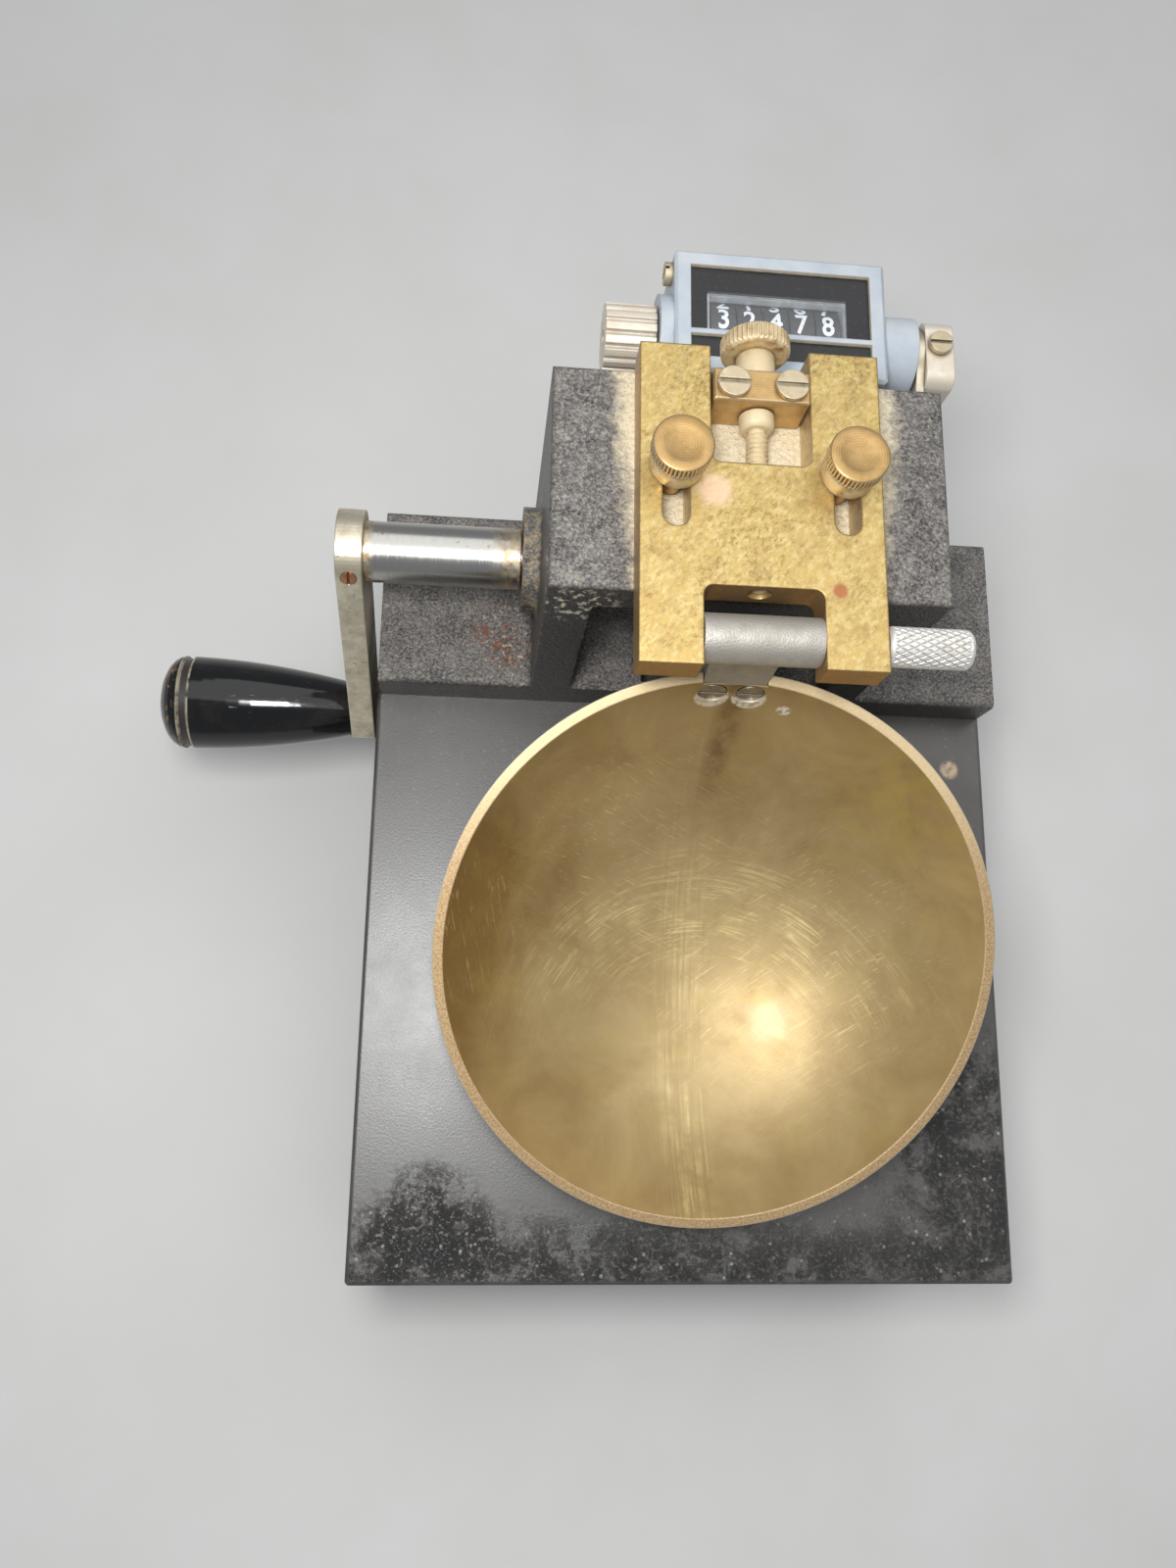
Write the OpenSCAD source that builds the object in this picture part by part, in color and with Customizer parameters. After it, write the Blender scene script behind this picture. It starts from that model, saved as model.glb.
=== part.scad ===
// Hand-operated liquid-limit device: a brass cup hangs on a hinge above a hard
// rubber base, a cam on the crank shaft lifts and drops it, and a counter adds
// up the blows. The origin is the centre of the base's top face, where the cup
// strikes. +X points away from the crank, +Y to the rear and +Z up.

/* [Base] */
// Width of the base block along X
base_w = 125; // [110:1:150]
// Depth of the base block along Y
base_d = 150; // [140:1:180]
// Height of the base block
base_h = 50; // [40:1:60]
// Chamfer on every edge of the base block
base_chamfer = 0.6; // [0.2:0.1:2]
// Radius of a rubber foot
foot_r = 10; // [7:0.5:13]
// Height of a rubber foot
foot_h = 8; // [6:0.5:12]
// Distance of a foot's centre from the two nearest sides
foot_inset = 15; // [14:1:20]
// Width of the bevel round a foot's tread
foot_bevel = 1.5; // [1:0.1:2.5]
// Radius of a foot screw's shank
foot_screw_r = 2; // [1.5:0.1:2.5]
// Radius of a foot screw's head
foot_head_r = 4; // [3:0.1:4.5]
// Length of a foot screw below its head
foot_screw_l = 16; // [12:1:20]

/* [Casting] */
// Distance from the base's rear edge to the casting's rear face
casting_margin = 0.9; // [0:0.1:4]
// Depth of the casting along Y
casting_d = 38; // [36:0.5:42]
// Thickness of the foot flange
flange_t = 9; // [7:0.5:10]
// Depth of the foot flange along Y
flange_d = 35.5; // [32:0.5:38]
// Distance from the base's sides to the flange's ends
flange_inset = 0.6; // [0:0.1:3]
// Rounding of the flange's top edges
flange_round = 1.2; // [0.5:0.1:3]
// Width of the bridge over the cam
bridge_w = 64.6; // [60:0.2:70]
// Height of the bridge's flat top
bridge_h = 60.3; // [58:0.1:66]
// Thickness of the bridge's side walls
wall_t = 7.5; // [6:0.5:9]
// Thickness of the bridge's top beam
beam_t = 7.5; // [6:0.1:7.8]
// Rounding of the opening's upper corners
opening_round = 2; // [1:0.5:8]
// Rounding of the bridge's outer edges
bridge_round = 0.8; // [0.5:0.1:3]
// Fillet between the walls and the flange
foot_fillet = 2; // [1:0.5:6]
// Radius of the bearing boss on the crank side
boss_r = 9.5; // [8.5:0.1:12]
// How far the bearing boss stands out
boss_t = 3.1; // [1.5:0.1:5]
// Fillet between the bearing boss and the wall
boss_fillet = 1.2; // [0.4:0.1:2]
// Radius of the screws that hold the casting from below
casting_bolt_r = 2.5; // [2:0.1:2.8]
// Depth of the counterbores in the base's underside
casting_bolt_recess = 28; // [20:1:34]
// Depth of the screws' holes in the casting
casting_bolt_l = 13; // [10:0.5:14]
// Radius of those screws' heads
casting_head_r = 4.5; // [4:0.1:5]
// Distance of those screws from the casting's front and rear
bolt_inset = 6; // [5:0.5:8]
// Metal left under the beam's blind holes
hole_floor = 0.5; // [0.4:0.1:2]

/* [Crank shaft] */
// Radius of the shaft
shaft_r = 4.75; // [4:0.05:5]
// Wall of the bronze bushings
bush_wall = 1.75; // [1:0.25:3]
// Radius of the bright sleeve beside the arm
sleeve_r = 5.5; // [5.4:0.1:7]
// Room between the base's side and the crank arm
arm_room = 1.2; // [0.8:0.1:3]
// Thickness of the crank arm
arm_t = 4.75; // [3.5:0.05:6]
// Distance from the shaft to the handle
arm_l = 44; // [40:0.5:50]
// Radius of the arm's end round the shaft
arm_r = 7.4; // [7:0.1:9]
// Radius of the arm's end round the handle
arm_tip_r = 6; // [5:0.1:7]
// Angle of the hanging arm forward of straight down
arm_angle = 24.3; // [0:0.1:60]
// Radius of the arm's set screw
arm_screw_r = 1.45; // [1:0.05:1.8]
// Length by which the shaft's end stands back in the arm and past the disc
shaft_end = 0.4; // [0.2:0.1:1]

/* [Handle] */
// Length of the handle grip
grip_l = 39.1; // [36:0.1:50]
// Largest radius of the grip
grip_r = 9.55; // [8:0.05:11]
// Radius of the grip's end at the arm
grip_neck_r = 5.5; // [4.5:0.1:7]
// Length of the grip's rounded end
grip_dome = 5; // [4:0.25:7]
// Width of the groove round the grip
groove_w = 1.8; // [1:0.1:2.5]
// Depth of the groove round the grip
groove_t = 0.5; // [0.3:0.1:0.9]
// Radius of the spindle that carries the grip
spindle_r = 2.5; // [2:0.1:3]
// Radius of the spindle's slotted head
spindle_head_r = 3.6; // [3.4:0.1:4]
// Depth of the recess for the spindle's head
spindle_recess = 4; // [3:0.25:6]

/* [Cam] */
// Room between the cam and the beam above it
cam_top_room = 1.3; // [0.8:0.1:3]
// Room between the cam and the base below it
cam_floor_room = 3.5; // [2:0.1:5]
// Room between the cam and the counter behind it
cam_rear_room = 1.5; // [1:0.1:3]
// Thickness of the cam
cam_w = 13; // [10:0.5:15]
// Radius of the cam's hub
hub_r = 9; // [8:0.25:11]
// Length of the cam's hub
hub_l = 24; // [20:0.5:28]
// Radius of the two cam screws
cam_screw_r = 1.5; // [1:0.1:2]
// Length by which a set screw sinks below its hole's mouth
set_screw_sink = 0.4; // [0.2:0.1:1]
// Room beside the cam inside the flange
cam_room = 4; // [2:0.5:6]
// Room round the cam inside the flange
cam_slot_room = 1; // [0.6:0.1:3]

/* [Cup] */
// Radius of the cup's inner sphere
cup_r = 54; // [53:0.25:56]
// Thickness of the cup's wall
cup_wall = 2; // [1.5:0.1:2.2]
// Depth of the cup
cup_depth = 27; // [25:0.25:29]
// Width of the cup's turned rim
rim_w = 1.7; // [1.3:0.1:2.1]
// Distance from the cup's axis to the hinge
pivot_reach = 53.5; // [53:0.25:56]
// Height of the hinge above the rim
pivot_rise = 15.5; // [14:0.25:17]
// Radius of the hanger's barrel
barrel_r = 3.85; // [3.6:0.05:4.2]
// Length of the hanger's barrel
barrel_l = 18.4; // [17:0.1:20]
// Width of the hanger just under its barrel
hanger_w = 12.6; // [12:0.1:14]
// Width of the hanger at the rim and below
hanger_tail_w = 10.8; // [10:0.1:12]
// Thickness of the hanger's tail behind the cup
hanger_t = 2; // [1.5:0.1:2.2]
// Length of the hanger's tail below the pad
tail_end = 1.75; // [1:0.25:4]
// Depth of the notch that seats the hanger in the rim
rim_notch = 1.4; // [1:0.1:1.8]
// Distance between the two cup screws
cup_screw_gap = 6.4; // [5.8:0.1:6.8]
// Distance of the cup screws below the rim
cup_screw_drop = 4.2; // [4:0.1:5]
// Radius of a cup screw's head
cup_screw_r = 2.3; // [2:0.1:2.5]
// Radius of a cup screw's shank
cup_shank_r = 1.2; // [1:0.05:1.4]
// Height of a cup screw's head
cup_screw_h = 0.7; // [0.5:0.1:1]
// Room round a cup screw's head in its spot face
spot_room = 0.2; // [0.1:0.05:0.4]
// Height of the pad that rides on the cam
pad_h = 7; // [5:0.25:9]
// Thickness of the pad that rides on the cam
pad_t = 2.53; // [2:0.01:4]
// Radius of the pad's long edges
pad_round = 1; // [0.4:0.1:1]
// Room beside the hanger in the rim's notch
notch_room = 0.1; // [0.05:0.05:0.3]

/* [Adjusting plate] */
// Width of the plate
plate_w = 38.1; // [38:0.1:41]
// Length of the plate
plate_l = 52.8; // [51:0.2:56]
// Thickness of the plate
plate_t = 6.35; // [6.2:0.05:7]
// How far the plate stands in front of the casting
plate_overhang = 13.75; // [13:0.25:15]
// Depth of the front notch
notch_l = 12.65; // [12:0.05:13.5]
// Rounding of the notch corners
notch_round = 1.6; // [1:0.1:2.5]
// Gap between the hanger's barrel and the notch's side
notch_gap = 0.1; // [0.05:0.05:0.4]
// Distance of the hinge from the plate's front
pivot_inset = 5.25; // [5:0.05:6]
// Half the width of the rear slot
rear_slot_half = 7.95; // [7.6:0.05:8.4]
// Depth of the rear slot
rear_slot_l = 19.9; // [18.5:0.1:21]
// Distance of the lock slots from the middle
lock_x = 13.4; // [12.8:0.1:14]
// Width of a lock slot
lock_w = 4.3; // [4.1:0.1:4.6]
// Length of a lock slot
lock_l = 16.5; // [14:0.5:18]
// Distance from the plate's front to the lock slots
lock_y = 21.85; // [21:0.05:23]
// Distance from the casting's front to the thumb screws
thumb_y = 18.2; // [16:0.1:20]
// Radius of a thumb screw's knurled head
thumb_r = 4.7; // [4:0.1:5]
// Height of a thumb screw's knurled head
thumb_h = 3.2; // [2.5:0.1:4]
// Number of ridges round a thumb screw's head
thumb_ridges = 48; // [36:1:60]
// Chamfer of a thumb screw's head
thumb_chamfer = 0.5; // [0.3:0.1:0.8]
// Depth of the ridges on the knurled heads
ridge_depth = 0.3; // [0.2:0.05:0.4]
// Radius of a thumb screw's smooth collar
thumb_collar_r = 4.3; // [3.6:0.1:4.5]
// Height of a thumb screw's smooth collar
thumb_collar_h = 3.4; // [2.5:0.1:4]
// Radius of a thumb screw's shank
thumb_shank_r = 1.9; // [1.7:0.05:2]

/* [Hinge pin] */
// Radius of the hinge pin in its bores
pin_r = 2.4; // [2:0.05:2.6]
// Radius of the pin's knurled grip
pin_grip_r = 3.175; // [3:0.025:3.5]
// Length of the pin's knurled grip
pin_grip_l = 13.4; // [12:0.2:16]
// Thickness of metal past the pin's blind end
pin_end_t = 2; // [1:0.1:3]
// Chamfer at the ends of the pin
pin_chamfer = 0.5; // [0.3:0.1:0.8]

/* [Adjusting screw] */
// Width of the block that holds the screw
block_w = 15.3; // [15:0.1:16]
// Length of the block along Y
block_l = 5.5; // [5:0.1:7]
// Height of the block
block_h = 7.7; // [7:0.1:9]
// Chamfer of the block's edges
block_chamfer = 0.3; // [0.2:0.1:0.6]
// Distance from the block to the casting's rear
block_inset = 3.4; // [2.5:0.1:4]
// Distance between the block's two screws
block_screw_gap = 9.2; // [8.6:0.1:9.6]
// Radius of a block screw's head
block_screw_r = 2.55; // [2:0.05:2.6]
// Height of a block screw's head
block_screw_h = 1; // [0.8:0.1:2]
// Radius of a block screw's shank
block_shank_r = 1.4; // [1.2:0.05:1.5]
// Radius of the adjusting screw's thread
screw_r = 1.8; // [1.5:0.05:2]
// Radius of the collar in front of the block
screw_collar_r = 2.8; // [2.1:0.1:2.9]
// Length of the collar in front of the block
screw_collar_l = 2.8; // [1.2:0.1:3.5]
// Radius of the screw's hub behind the block
screw_hub_r = 3.1; // [2.6:0.1:3.1]
// Length of the screw's hub behind the block
screw_hub_l = 4.8; // [4.2:0.1:6]
// Distance from the plate's notch to the tip of the screw
thread_inset = 0.5; // [0.3:0.1:3]
// Length by which the screw stands out of its knob
screw_end = 0.4; // [0.2:0.1:1]
// Number of ridges round the knob
knob_ridges = 44; // [36:1:52]
// Chamfer of the knob
knob_chamfer = 0.6; // [0.3:0.1:0.9]
// Radius of the screw's knurled knob
knob_r = 5.6; // [5:0.1:6]
// Thickness of the screw's knurled knob
knob_t = 3.4; // [3:0.1:4.4]

/* [Counter] */
// Width of the counter housing
counter_w = 37.6; // [36:0.2:40]
// Depth of the counter housing along Y
counter_d = 23.5; // [22:0.1:25]
// Height of the counter housing
counter_h = 18.5; // [17.8:0.1:20]
// Height of the counter's face above the base
counter_top = 52; // [50:0.25:53]
// Distance of the counter's middle from the cup's plane
counter_x = 7.8; // [7:0.1:9]
// Room between the casting's rear and the counter
counter_room = 6.2; // [5.6:0.1:8]
// Width of the frame round the counter's face
frame_w = 2.8; // [2.4:0.1:3.2]
// Width of the bar between the two face fields
bar_w = 0.9; // [0.6:0.1:1.2]
// Depth of the face fields below the frame
field_t = 1.2; // [1:0.1:1.4]
// Thickness of the black face plates
label_t = 0.4; // [0.3:0.1:0.5]
// Length of the upper face field along Y
field_l = 12.6; // [12:0.1:13]
// Length of the window along Y
window_l = 6.9; // [6.5:0.1:7.2]
// Thickness of the clear window pane
pane_t = 0.6; // [0.4:0.1:0.9]
// Seat of the window pane on each side of the window
pane_seat = 0.4; // [0.3:0.05:0.5]
// Radius of a number wheel
wheel_r = 7.2; // [6.8:0.1:7.2]
// Width of a number wheel
wheel_w = 4.3; // [4:0.1:4.5]
// Depth of the recess in a number wheel's side
wheel_recess = 0.6; // [0.4:0.1:1]
// Wall of a number wheel round its recess
wheel_wall = 1; // [0.8:0.1:1.5]
// Wall of a number wheel's hub
wheel_hub = 1.2; // [0.8:0.1:2]
// Distance from one number wheel to the next
wheel_pitch = 4.67; // [4.6:0.01:4.9]
// Number of number wheels
wheel_count = 5; // [5:1:5]
// Distance of the wheels' middle from the counter's middle
wheel_shift = 0.6; // [0:0.1:1]
// Depth of the bearing at the shaft's far end
shaft_seat = 2.5; // [2:0.1:3]
// Depth of the bearing of the lever's spindle
spindle_seat = 3; // [2:0.1:3.5]
// Chamfer of the counter's edges
counter_chamfer = 0.6; // [0.3:0.1:1]
// Radius of the counter's shaft
counter_shaft_r = 1.5; // [1.2:0.1:2]
// Distance from the counter's front to the axis of its wheels
drum_inset = 10.6; // [10:0.1:12]
// Radius of the housing's boss behind the reset knob
left_boss_r = 8; // [7:0.1:8.4]
// Radius of the housing's boss behind the lever
right_boss_r = 7; // [6.4:0.1:8]
// Thickness of the boss behind the reset knob
left_boss_t = 2.3; // [2:0.1:4]
// Distance from the casting's side to the lever strip
lever_room = 1.2; // [0.9:0.1:1.6]
// Radius of the reset knob
reset_r = 6; // [5.5:0.1:7]
// Length of the reset knob
reset_l = 9; // [7:0.1:11]
// Number of grooves round the reset knob
reset_grooves = 16; // [14:1:20]
// Radius of a groove in the reset knob
reset_groove_r = 0.5; // [0.3:0.05:0.6]
// Thickness of the bracket's sheet
bracket_t = 2; // [1.5:0.1:2.4]
// Width of the bracket's leaf on the casting
leaf_w = 8.5; // [7:0.1:9]
// Height of the bracket's leaf on the casting
leaf_h = 30; // [24:0.5:34]
// Radius of the bracket's screws
bracket_screw_r = 1.6; // [1.2:0.1:2]
// Radius of the bracket screws' heads
bracket_head_r = 2.7; // [2.4:0.1:3.2]
// Length of the bracket's screws in the casting
bracket_screw_l = 9; // [6:0.5:12]
// Length of the bracket's screws in the counter
counter_screw_l = 1.2; // [1:0.1:1.3]
// Height of the head of the screw on the counter's end
end_screw_h = 1.4; // [1:0.1:2]
// Distance of the screw on the counter's end from the rear
end_screw_inset = 2.8; // [2.6:0.1:4]
// Distance of the screw on the counter's end below the face
end_screw_drop = 3.4; // [3:0.1:5]
// Radius of the head of the screw on the counter's end
end_screw_r = 2; // [1.6:0.1:2.2]

/* [Counter drive] */
// Radius of the lever's spindle
drive_r = 2.5; // [2:0.1:3]
// Thickness of the lever strip
lever_t = 1.5; // [1:0.1:2]
// Radius of the lever round its spindle
lever_r = 5.2; // [4.5:0.1:6]
// Radius of the lever's tip
lever_tip_r = 2.6; // [2:0.1:3]
// Width of the clamp beside the lever
clamp_w = 5.1; // [4.5:0.1:6]
// Radius of the clamp's corners
clamp_round = 2.4; // [1:0.1:3]
// Length of the clamp
clamp_l = 13; // [12:0.1:14]
// Distance from the lever's spindle to the clamp's front end
clamp_front = 7.7; // [6:0.1:8.5]
// Radius of the clamp screw's head
clamp_screw_r = 2.1; // [1.8:0.1:2.5]
// Radius of the clamp screw's shank
clamp_shank_r = 1.15; // [1:0.05:1.4]
// Radius of the eccentric disc on the shaft
disc_r = 6.2; // [6:0.1:7]
// Offset of the eccentric disc from the shaft
disc_throw = 1.2; // [1:0.1:1.2]
// Width of the eccentric disc
disc_w = 4.4; // [4:0.1:6]
// Distance from the casting's side to the eccentric disc
disc_room = 1.2; // [0.9:0.1:2]
// Radius of the disc's set screw
disc_screw_r = 1; // [0.8:0.1:1.4]

/* [Hidden] */
$fn = 64;

// Clearances: a running fit, a fixed fit, and the space kept between moving pieces
run_gap = 0.05;
fit_gap = 0.02;
free_gap = 0.3;
// Length by which a cut passes the face it opens
over = 1;
// Width of a screw's slot as a share of its head's radius
slot_share = 0.3;
// Room for a tool round a sunk screw head
tool_room = 1;
// Turn of the cam on its shaft: its low side faces the hanger's pad at rest
cam_turn = 170;
// Depth of the spot faces in from the middle of the cup's wall
cup_screw_seat = 0.5;
// A rubber foot's screw sits in a recess that leaves half the foot as a seat
foot_recess = foot_h / 2;

// Half the width of the base, and the places on the casting and the shaft
base_x = base_w / 2;
casting_rear = base_d / 2 - casting_margin;
casting_front = casting_rear - casting_d;
casting_mid = (casting_front + casting_rear) / 2;
bridge_x = bridge_w / 2;
inner_x = bridge_x - wall_t;
beam_z = bridge_h - beam_t;
cam_r = (beam_z - cam_top_room - cam_floor_room) / 2;
shaft_z = cam_floor_room + cam_r;
bush_r = shaft_r + bush_wall;
flange_x = base_x - flange_inset;
boss_x = bridge_x + boss_t;
arm_x = base_x + arm_room;
arm_out_x = arm_x + arm_t;
sleeve_l = arm_x - boss_x - free_gap;
disc_x = bridge_x + disc_room;
bolt_x = bridge_x - wall_t / 2;
bolt_y = casting_d / 2 - bolt_inset;
// Half the length of the slot that lets the cam through the flange
cam_slot = sqrt(cam_r * cam_r - pow(shaft_z - flange_t, 2)) + cam_slot_room;

// Cup, hinge and hanger. The cup's sphere rests just above the base, and its
// tilt follows from the height of the hinge
cup_out_r = cup_r + cup_wall;
cup_mid_r = cup_r + cup_wall / 2;
rim_z = cup_depth - cup_r;
plate_front = casting_front - plate_overhang;
plate_z = bridge_h + run_gap;
plate_top = plate_z + plate_t;
pivot_y = plate_front + pivot_inset;
pivot_z = plate_z + plate_t / 2;
pivot_dz = rim_z + pivot_rise;
pivot_arm = sqrt(pivot_reach * pivot_reach + pivot_dz * pivot_dz);
cup_z = cup_out_r + free_gap;
cup_tilt = asin((pivot_z - cup_z) / pivot_arm) - atan2(pivot_dz, pivot_reach);
cup_y = pivot_y - pivot_reach * cos(cup_tilt) + pivot_dz * sin(cup_tilt);
rim_y = sqrt(cup_mid_r * cup_mid_r - rim_z * rim_z);
wall_lean = atan2(-rim_z, rim_y);
// The hinge in the frame of the wall at the rim: along the wall, and out of it
pivot_up = (pivot_reach - rim_y) * sin(wall_lean) + pivot_rise * cos(wall_lean);
pivot_out = (pivot_reach - rim_y) * cos(wall_lean) - pivot_rise * sin(wall_lean);
notch_half = barrel_l / 2 + notch_gap;
// The rim's rear, seen from the side, and the shaft, which stands so far behind
// the hanger that the cam just clears the pad
wall_angle = wall_lean - cup_tilt;
rim_rear_y = cup_y + rim_y * cos(cup_tilt) - rim_z * sin(cup_tilt);
rim_rear_z = cup_z + rim_y * sin(cup_tilt) + rim_z * cos(cup_tilt);
tail_face = cup_wall / 2 + hanger_t;
shaft_out = tail_face + pad_t + cam_r + free_gap;
shaft_y = rim_rear_y + (shaft_out + (shaft_z - rim_rear_z) * sin(wall_angle)) / cos(wall_angle);
shaft_up = (shaft_y - rim_rear_y) * sin(wall_angle) + (shaft_z - rim_rear_z) * cos(wall_angle);
tail_l = tail_end + pad_h / 2 - shaft_up;
handle_y = shaft_y - arm_l * sin(arm_angle);
handle_z = shaft_z - arm_l * cos(arm_angle);
rim_in_r = sqrt(cup_r * cup_r - rim_z * rim_z);

// Adjusting screw and thumb screws
block_y = casting_rear - block_inset - block_l;
knob_y = block_y + block_l + run_gap + screw_hub_l;
thread_y = plate_front + notch_l + thread_inset;
thumb_screw_y = casting_front + thumb_y;
blind_l = beam_t - hole_floor;

// Counter, clear of the casting and of the cam
counter_y = max(casting_rear + counter_room, shaft_y + cam_r + cam_rear_room);
counter_x0 = counter_x - counter_w / 2;
counter_x1 = counter_x + counter_w / 2;
counter_base = counter_top - counter_h;
field_y1 = counter_y + counter_d - frame_w;
field_y0 = field_y1 - field_l;
window_y0 = field_y0 + pane_seat;
drum_y = counter_y + drum_inset;
drum_z = counter_top - field_t - wheel_r - free_gap;
drum_room = wheel_r + free_gap;
drum_x = counter_x - wheel_shift;
drum_half = wheel_count * wheel_pitch / 2 + free_gap;
window_w = 2 * drum_half;
end_shank_r = end_screw_r / 2;
end_screw_y = counter_y + counter_d - end_screw_inset;
end_screw_z = counter_top - end_screw_drop;
field_x0 = counter_x0 + frame_w;
field_w = counter_w - 2 * frame_w;
low_field_y0 = counter_y + frame_w;
low_field_l = field_y0 - bar_w - low_field_y0;
drive_x = bridge_x + lever_room;
right_boss_t = drive_x - free_gap - counter_x1;
clamp_x = drive_x + lever_t;
lever_reach = disc_r + disc_throw + free_gap + lever_tip_r;
// The lever's tip lies above the disc, this far to the rear of straight up
lever_tip_angle = 15;
lever_tip_y = shaft_y + lever_reach * sin(lever_tip_angle);
lever_tip_z = shaft_z + lever_reach * cos(lever_tip_angle);
reset_x = counter_x0 - left_boss_t - free_gap - reset_l;

// Outline of the grip, radius by distance from the arm: a swelling body, then
// a rounded end
grip_straight = grip_l - grip_dome;
grip_steps = 14;
dome_steps = 8;
grip_outline = concat([[0, free_gap]],
  [for (i = [0 : grip_steps]) [grip_neck_r + (grip_r - grip_neck_r) * sin(90 * pow(i / grip_steps, 0.9)),
    free_gap + (grip_straight - free_gap) * i / grip_steps]],
  [for (i = [1 : dome_steps]) [grip_r * cos(90 * i / dome_steps),
    grip_straight + grip_dome * sin(90 * i / dome_steps)]]);

// Radius of the cam as a share of its largest, by angle from the drop
cam_rise = [[0, 0.742], [30, 0.753], [60, 0.764], [90, 0.773], [120, 0.784], [150, 0.796],
  [180, 0.818], [210, 0.854], [240, 0.901], [270, 0.945], [300, 0.974], [330, 0.995], [360, 1]];

// A box from its low corner, with every edge chamfered
module chamfered_box(size, c) {
  intersection() {
    linear_extrude(size[2]) chamfered_rect(size[0], size[1], c);
    translate([0, size[1], 0]) rotate([90, 0, 0]) linear_extrude(size[1])
      chamfered_rect(size[0], size[2], c);
    rotate([90, 0, 90]) linear_extrude(size[0]) chamfered_rect(size[1], size[2], c);
  }
}

// A rectangle from its low corner, with cut corners
module chamfered_rect(w, h, c) {
  polygon([[c, 0], [w - c, 0], [w, c], [w, h - c], [w - c, h], [c, h], [0, h - c], [0, c]]);
}

// A rectangle from its low corner, with its two upper corners rounded
module round_top_rect(w, h, r) {
  square([w, h - r]);
  translate([r, 0]) square([w - 2 * r, h]);
  for (x = [r, w - r]) translate([x, h - r]) circle(r);
}

// The curved triangle that fills an inside corner
module corner_fill(r) {
  difference() {
    square(r);
    translate([r, r]) circle(r);
  }
}

// A cylinder along +X that starts at x
module rod_x(x, len, r) {
  translate([x, 0, 0]) rotate([0, 90, 0]) cylinder(h = len, r = r);
}

// A cylinder along +Y that starts at y
module rod_y(y, len, r) {
  translate([0, y, 0]) rotate([-90, 0, 0]) cylinder(h = len, r = r);
}

// An outline in the Y-Z plane, extruded along +X from x
module sheet_x(x, len) {
  translate([x, 0, 0]) rotate([90, 0, 90]) linear_extrude(len) children();
}

// Two circles joined by their outer tangents, the second at [0, -len]
module link_outline(r1, r2, len) {
  hull() {
    circle(r1);
    translate([0, -len]) circle(r2);
  }
}

// A head or knob on z = 0 with straight knurls and bevelled ends
module knurled_knob(r, h, teeth, depth, bevel) {
  wide = r + depth;
  cut = bevel + depth;
  intersection() {
    linear_extrude(h) polygon([for (i = [0 : 2 * teeth - 1])
      (r - (i % 2) * depth) * [cos(i * 180 / teeth), sin(i * 180 / teeth)]]);
    rotate_extrude() polygon([[0, -over], [r - bevel - over, -over], [wide, cut], [wide, h - cut],
      [r - bevel - over, h + over], [0, h + over]]);
  }
}

// A slotted round screw head on z = 0, with its shank below
module slotted_screw(head_r, head_h, shank_r, shank_l) {
  slot_w = head_r * slot_share;
  difference() {
    union() {
      cylinder(h = head_h, r = head_r);
      translate([0, 0, -shank_l]) cylinder(h = shank_l + head_h / 2, r = shank_r);
    }
    translate([-head_r - over, -slot_w / 2, head_h / 2]) cube([2 * (head_r + over), slot_w, head_h]);
  }
}

// Moves a piece from the crank shaft's axis to its place
module at_shaft() {
  translate([0, shaft_y, shaft_z]) children();
}

// Moves a piece from the counter drum's axis to its place
module at_drum() {
  translate([0, drum_y, drum_z]) children();
}

// Places a piece drawn round the cup's sphere centre, with its axis upright
module at_cup() {
  translate([0, cup_y, cup_z]) rotate([cup_tilt, 0, 0]) children();
}

// Places a piece drawn at the rim's rear: +Z up along the wall, +Y out of it
module at_rim() {
  at_cup() translate([0, rim_y, rim_z]) rotate([-wall_lean, 0, 0]) children();
}

// The four corners of a rectangle round the origin
module corners(x, y) {
  for (sx = [-1, 1], sy = [-1, 1]) translate([sx * x, sy * y, 0]) children();
}

// Places of the screws that hold the casting down, under its side walls
module casting_bolt_places() {
  translate([0, casting_mid, 0]) corners(bolt_x, bolt_y) children();
}

// Places of the four feet, at z = 0
module foot_places() {
  corners(base_x - foot_inset, base_d / 2 - foot_inset) children();
}

module base_block() {
  color("dimgray") difference() {
    translate([-base_x, -base_d / 2, -base_h]) chamfered_box([base_w, base_d, base_h], base_chamfer);
    translate([0, 0, -base_h - over]) foot_places()
      cylinder(h = foot_screw_l + over, r = foot_screw_r + fit_gap);
    casting_bolt_places() {
      translate([0, 0, -base_h - over])
        cylinder(h = casting_bolt_recess + over, r = casting_head_r + tool_room);
      translate([0, 0, -base_h]) cylinder(h = base_h + over, r = casting_bolt_r + fit_gap);
    }
  }
}

module rubber_feet() {
  color("black") translate([0, 0, -base_h - foot_h]) foot_places() difference() {
    rotate_extrude() polygon([[0, 0], [foot_r - foot_bevel, 0], [foot_r - foot_bevel / 2, foot_bevel / 2],
      [foot_r, foot_h], [0, foot_h]]);
    translate([0, 0, -over]) cylinder(h = foot_recess + over, r = foot_head_r + tool_room / 2);
    cylinder(h = foot_h + over, r = foot_screw_r + fit_gap);
  }
}

module foot_screws() {
  color("silver") translate([0, 0, foot_recess - base_h - foot_h]) foot_places() rotate([180, 0, 0])
    slotted_screw(foot_head_r, foot_screw_r, foot_screw_r, foot_screw_l + foot_recess - over);
}

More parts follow.
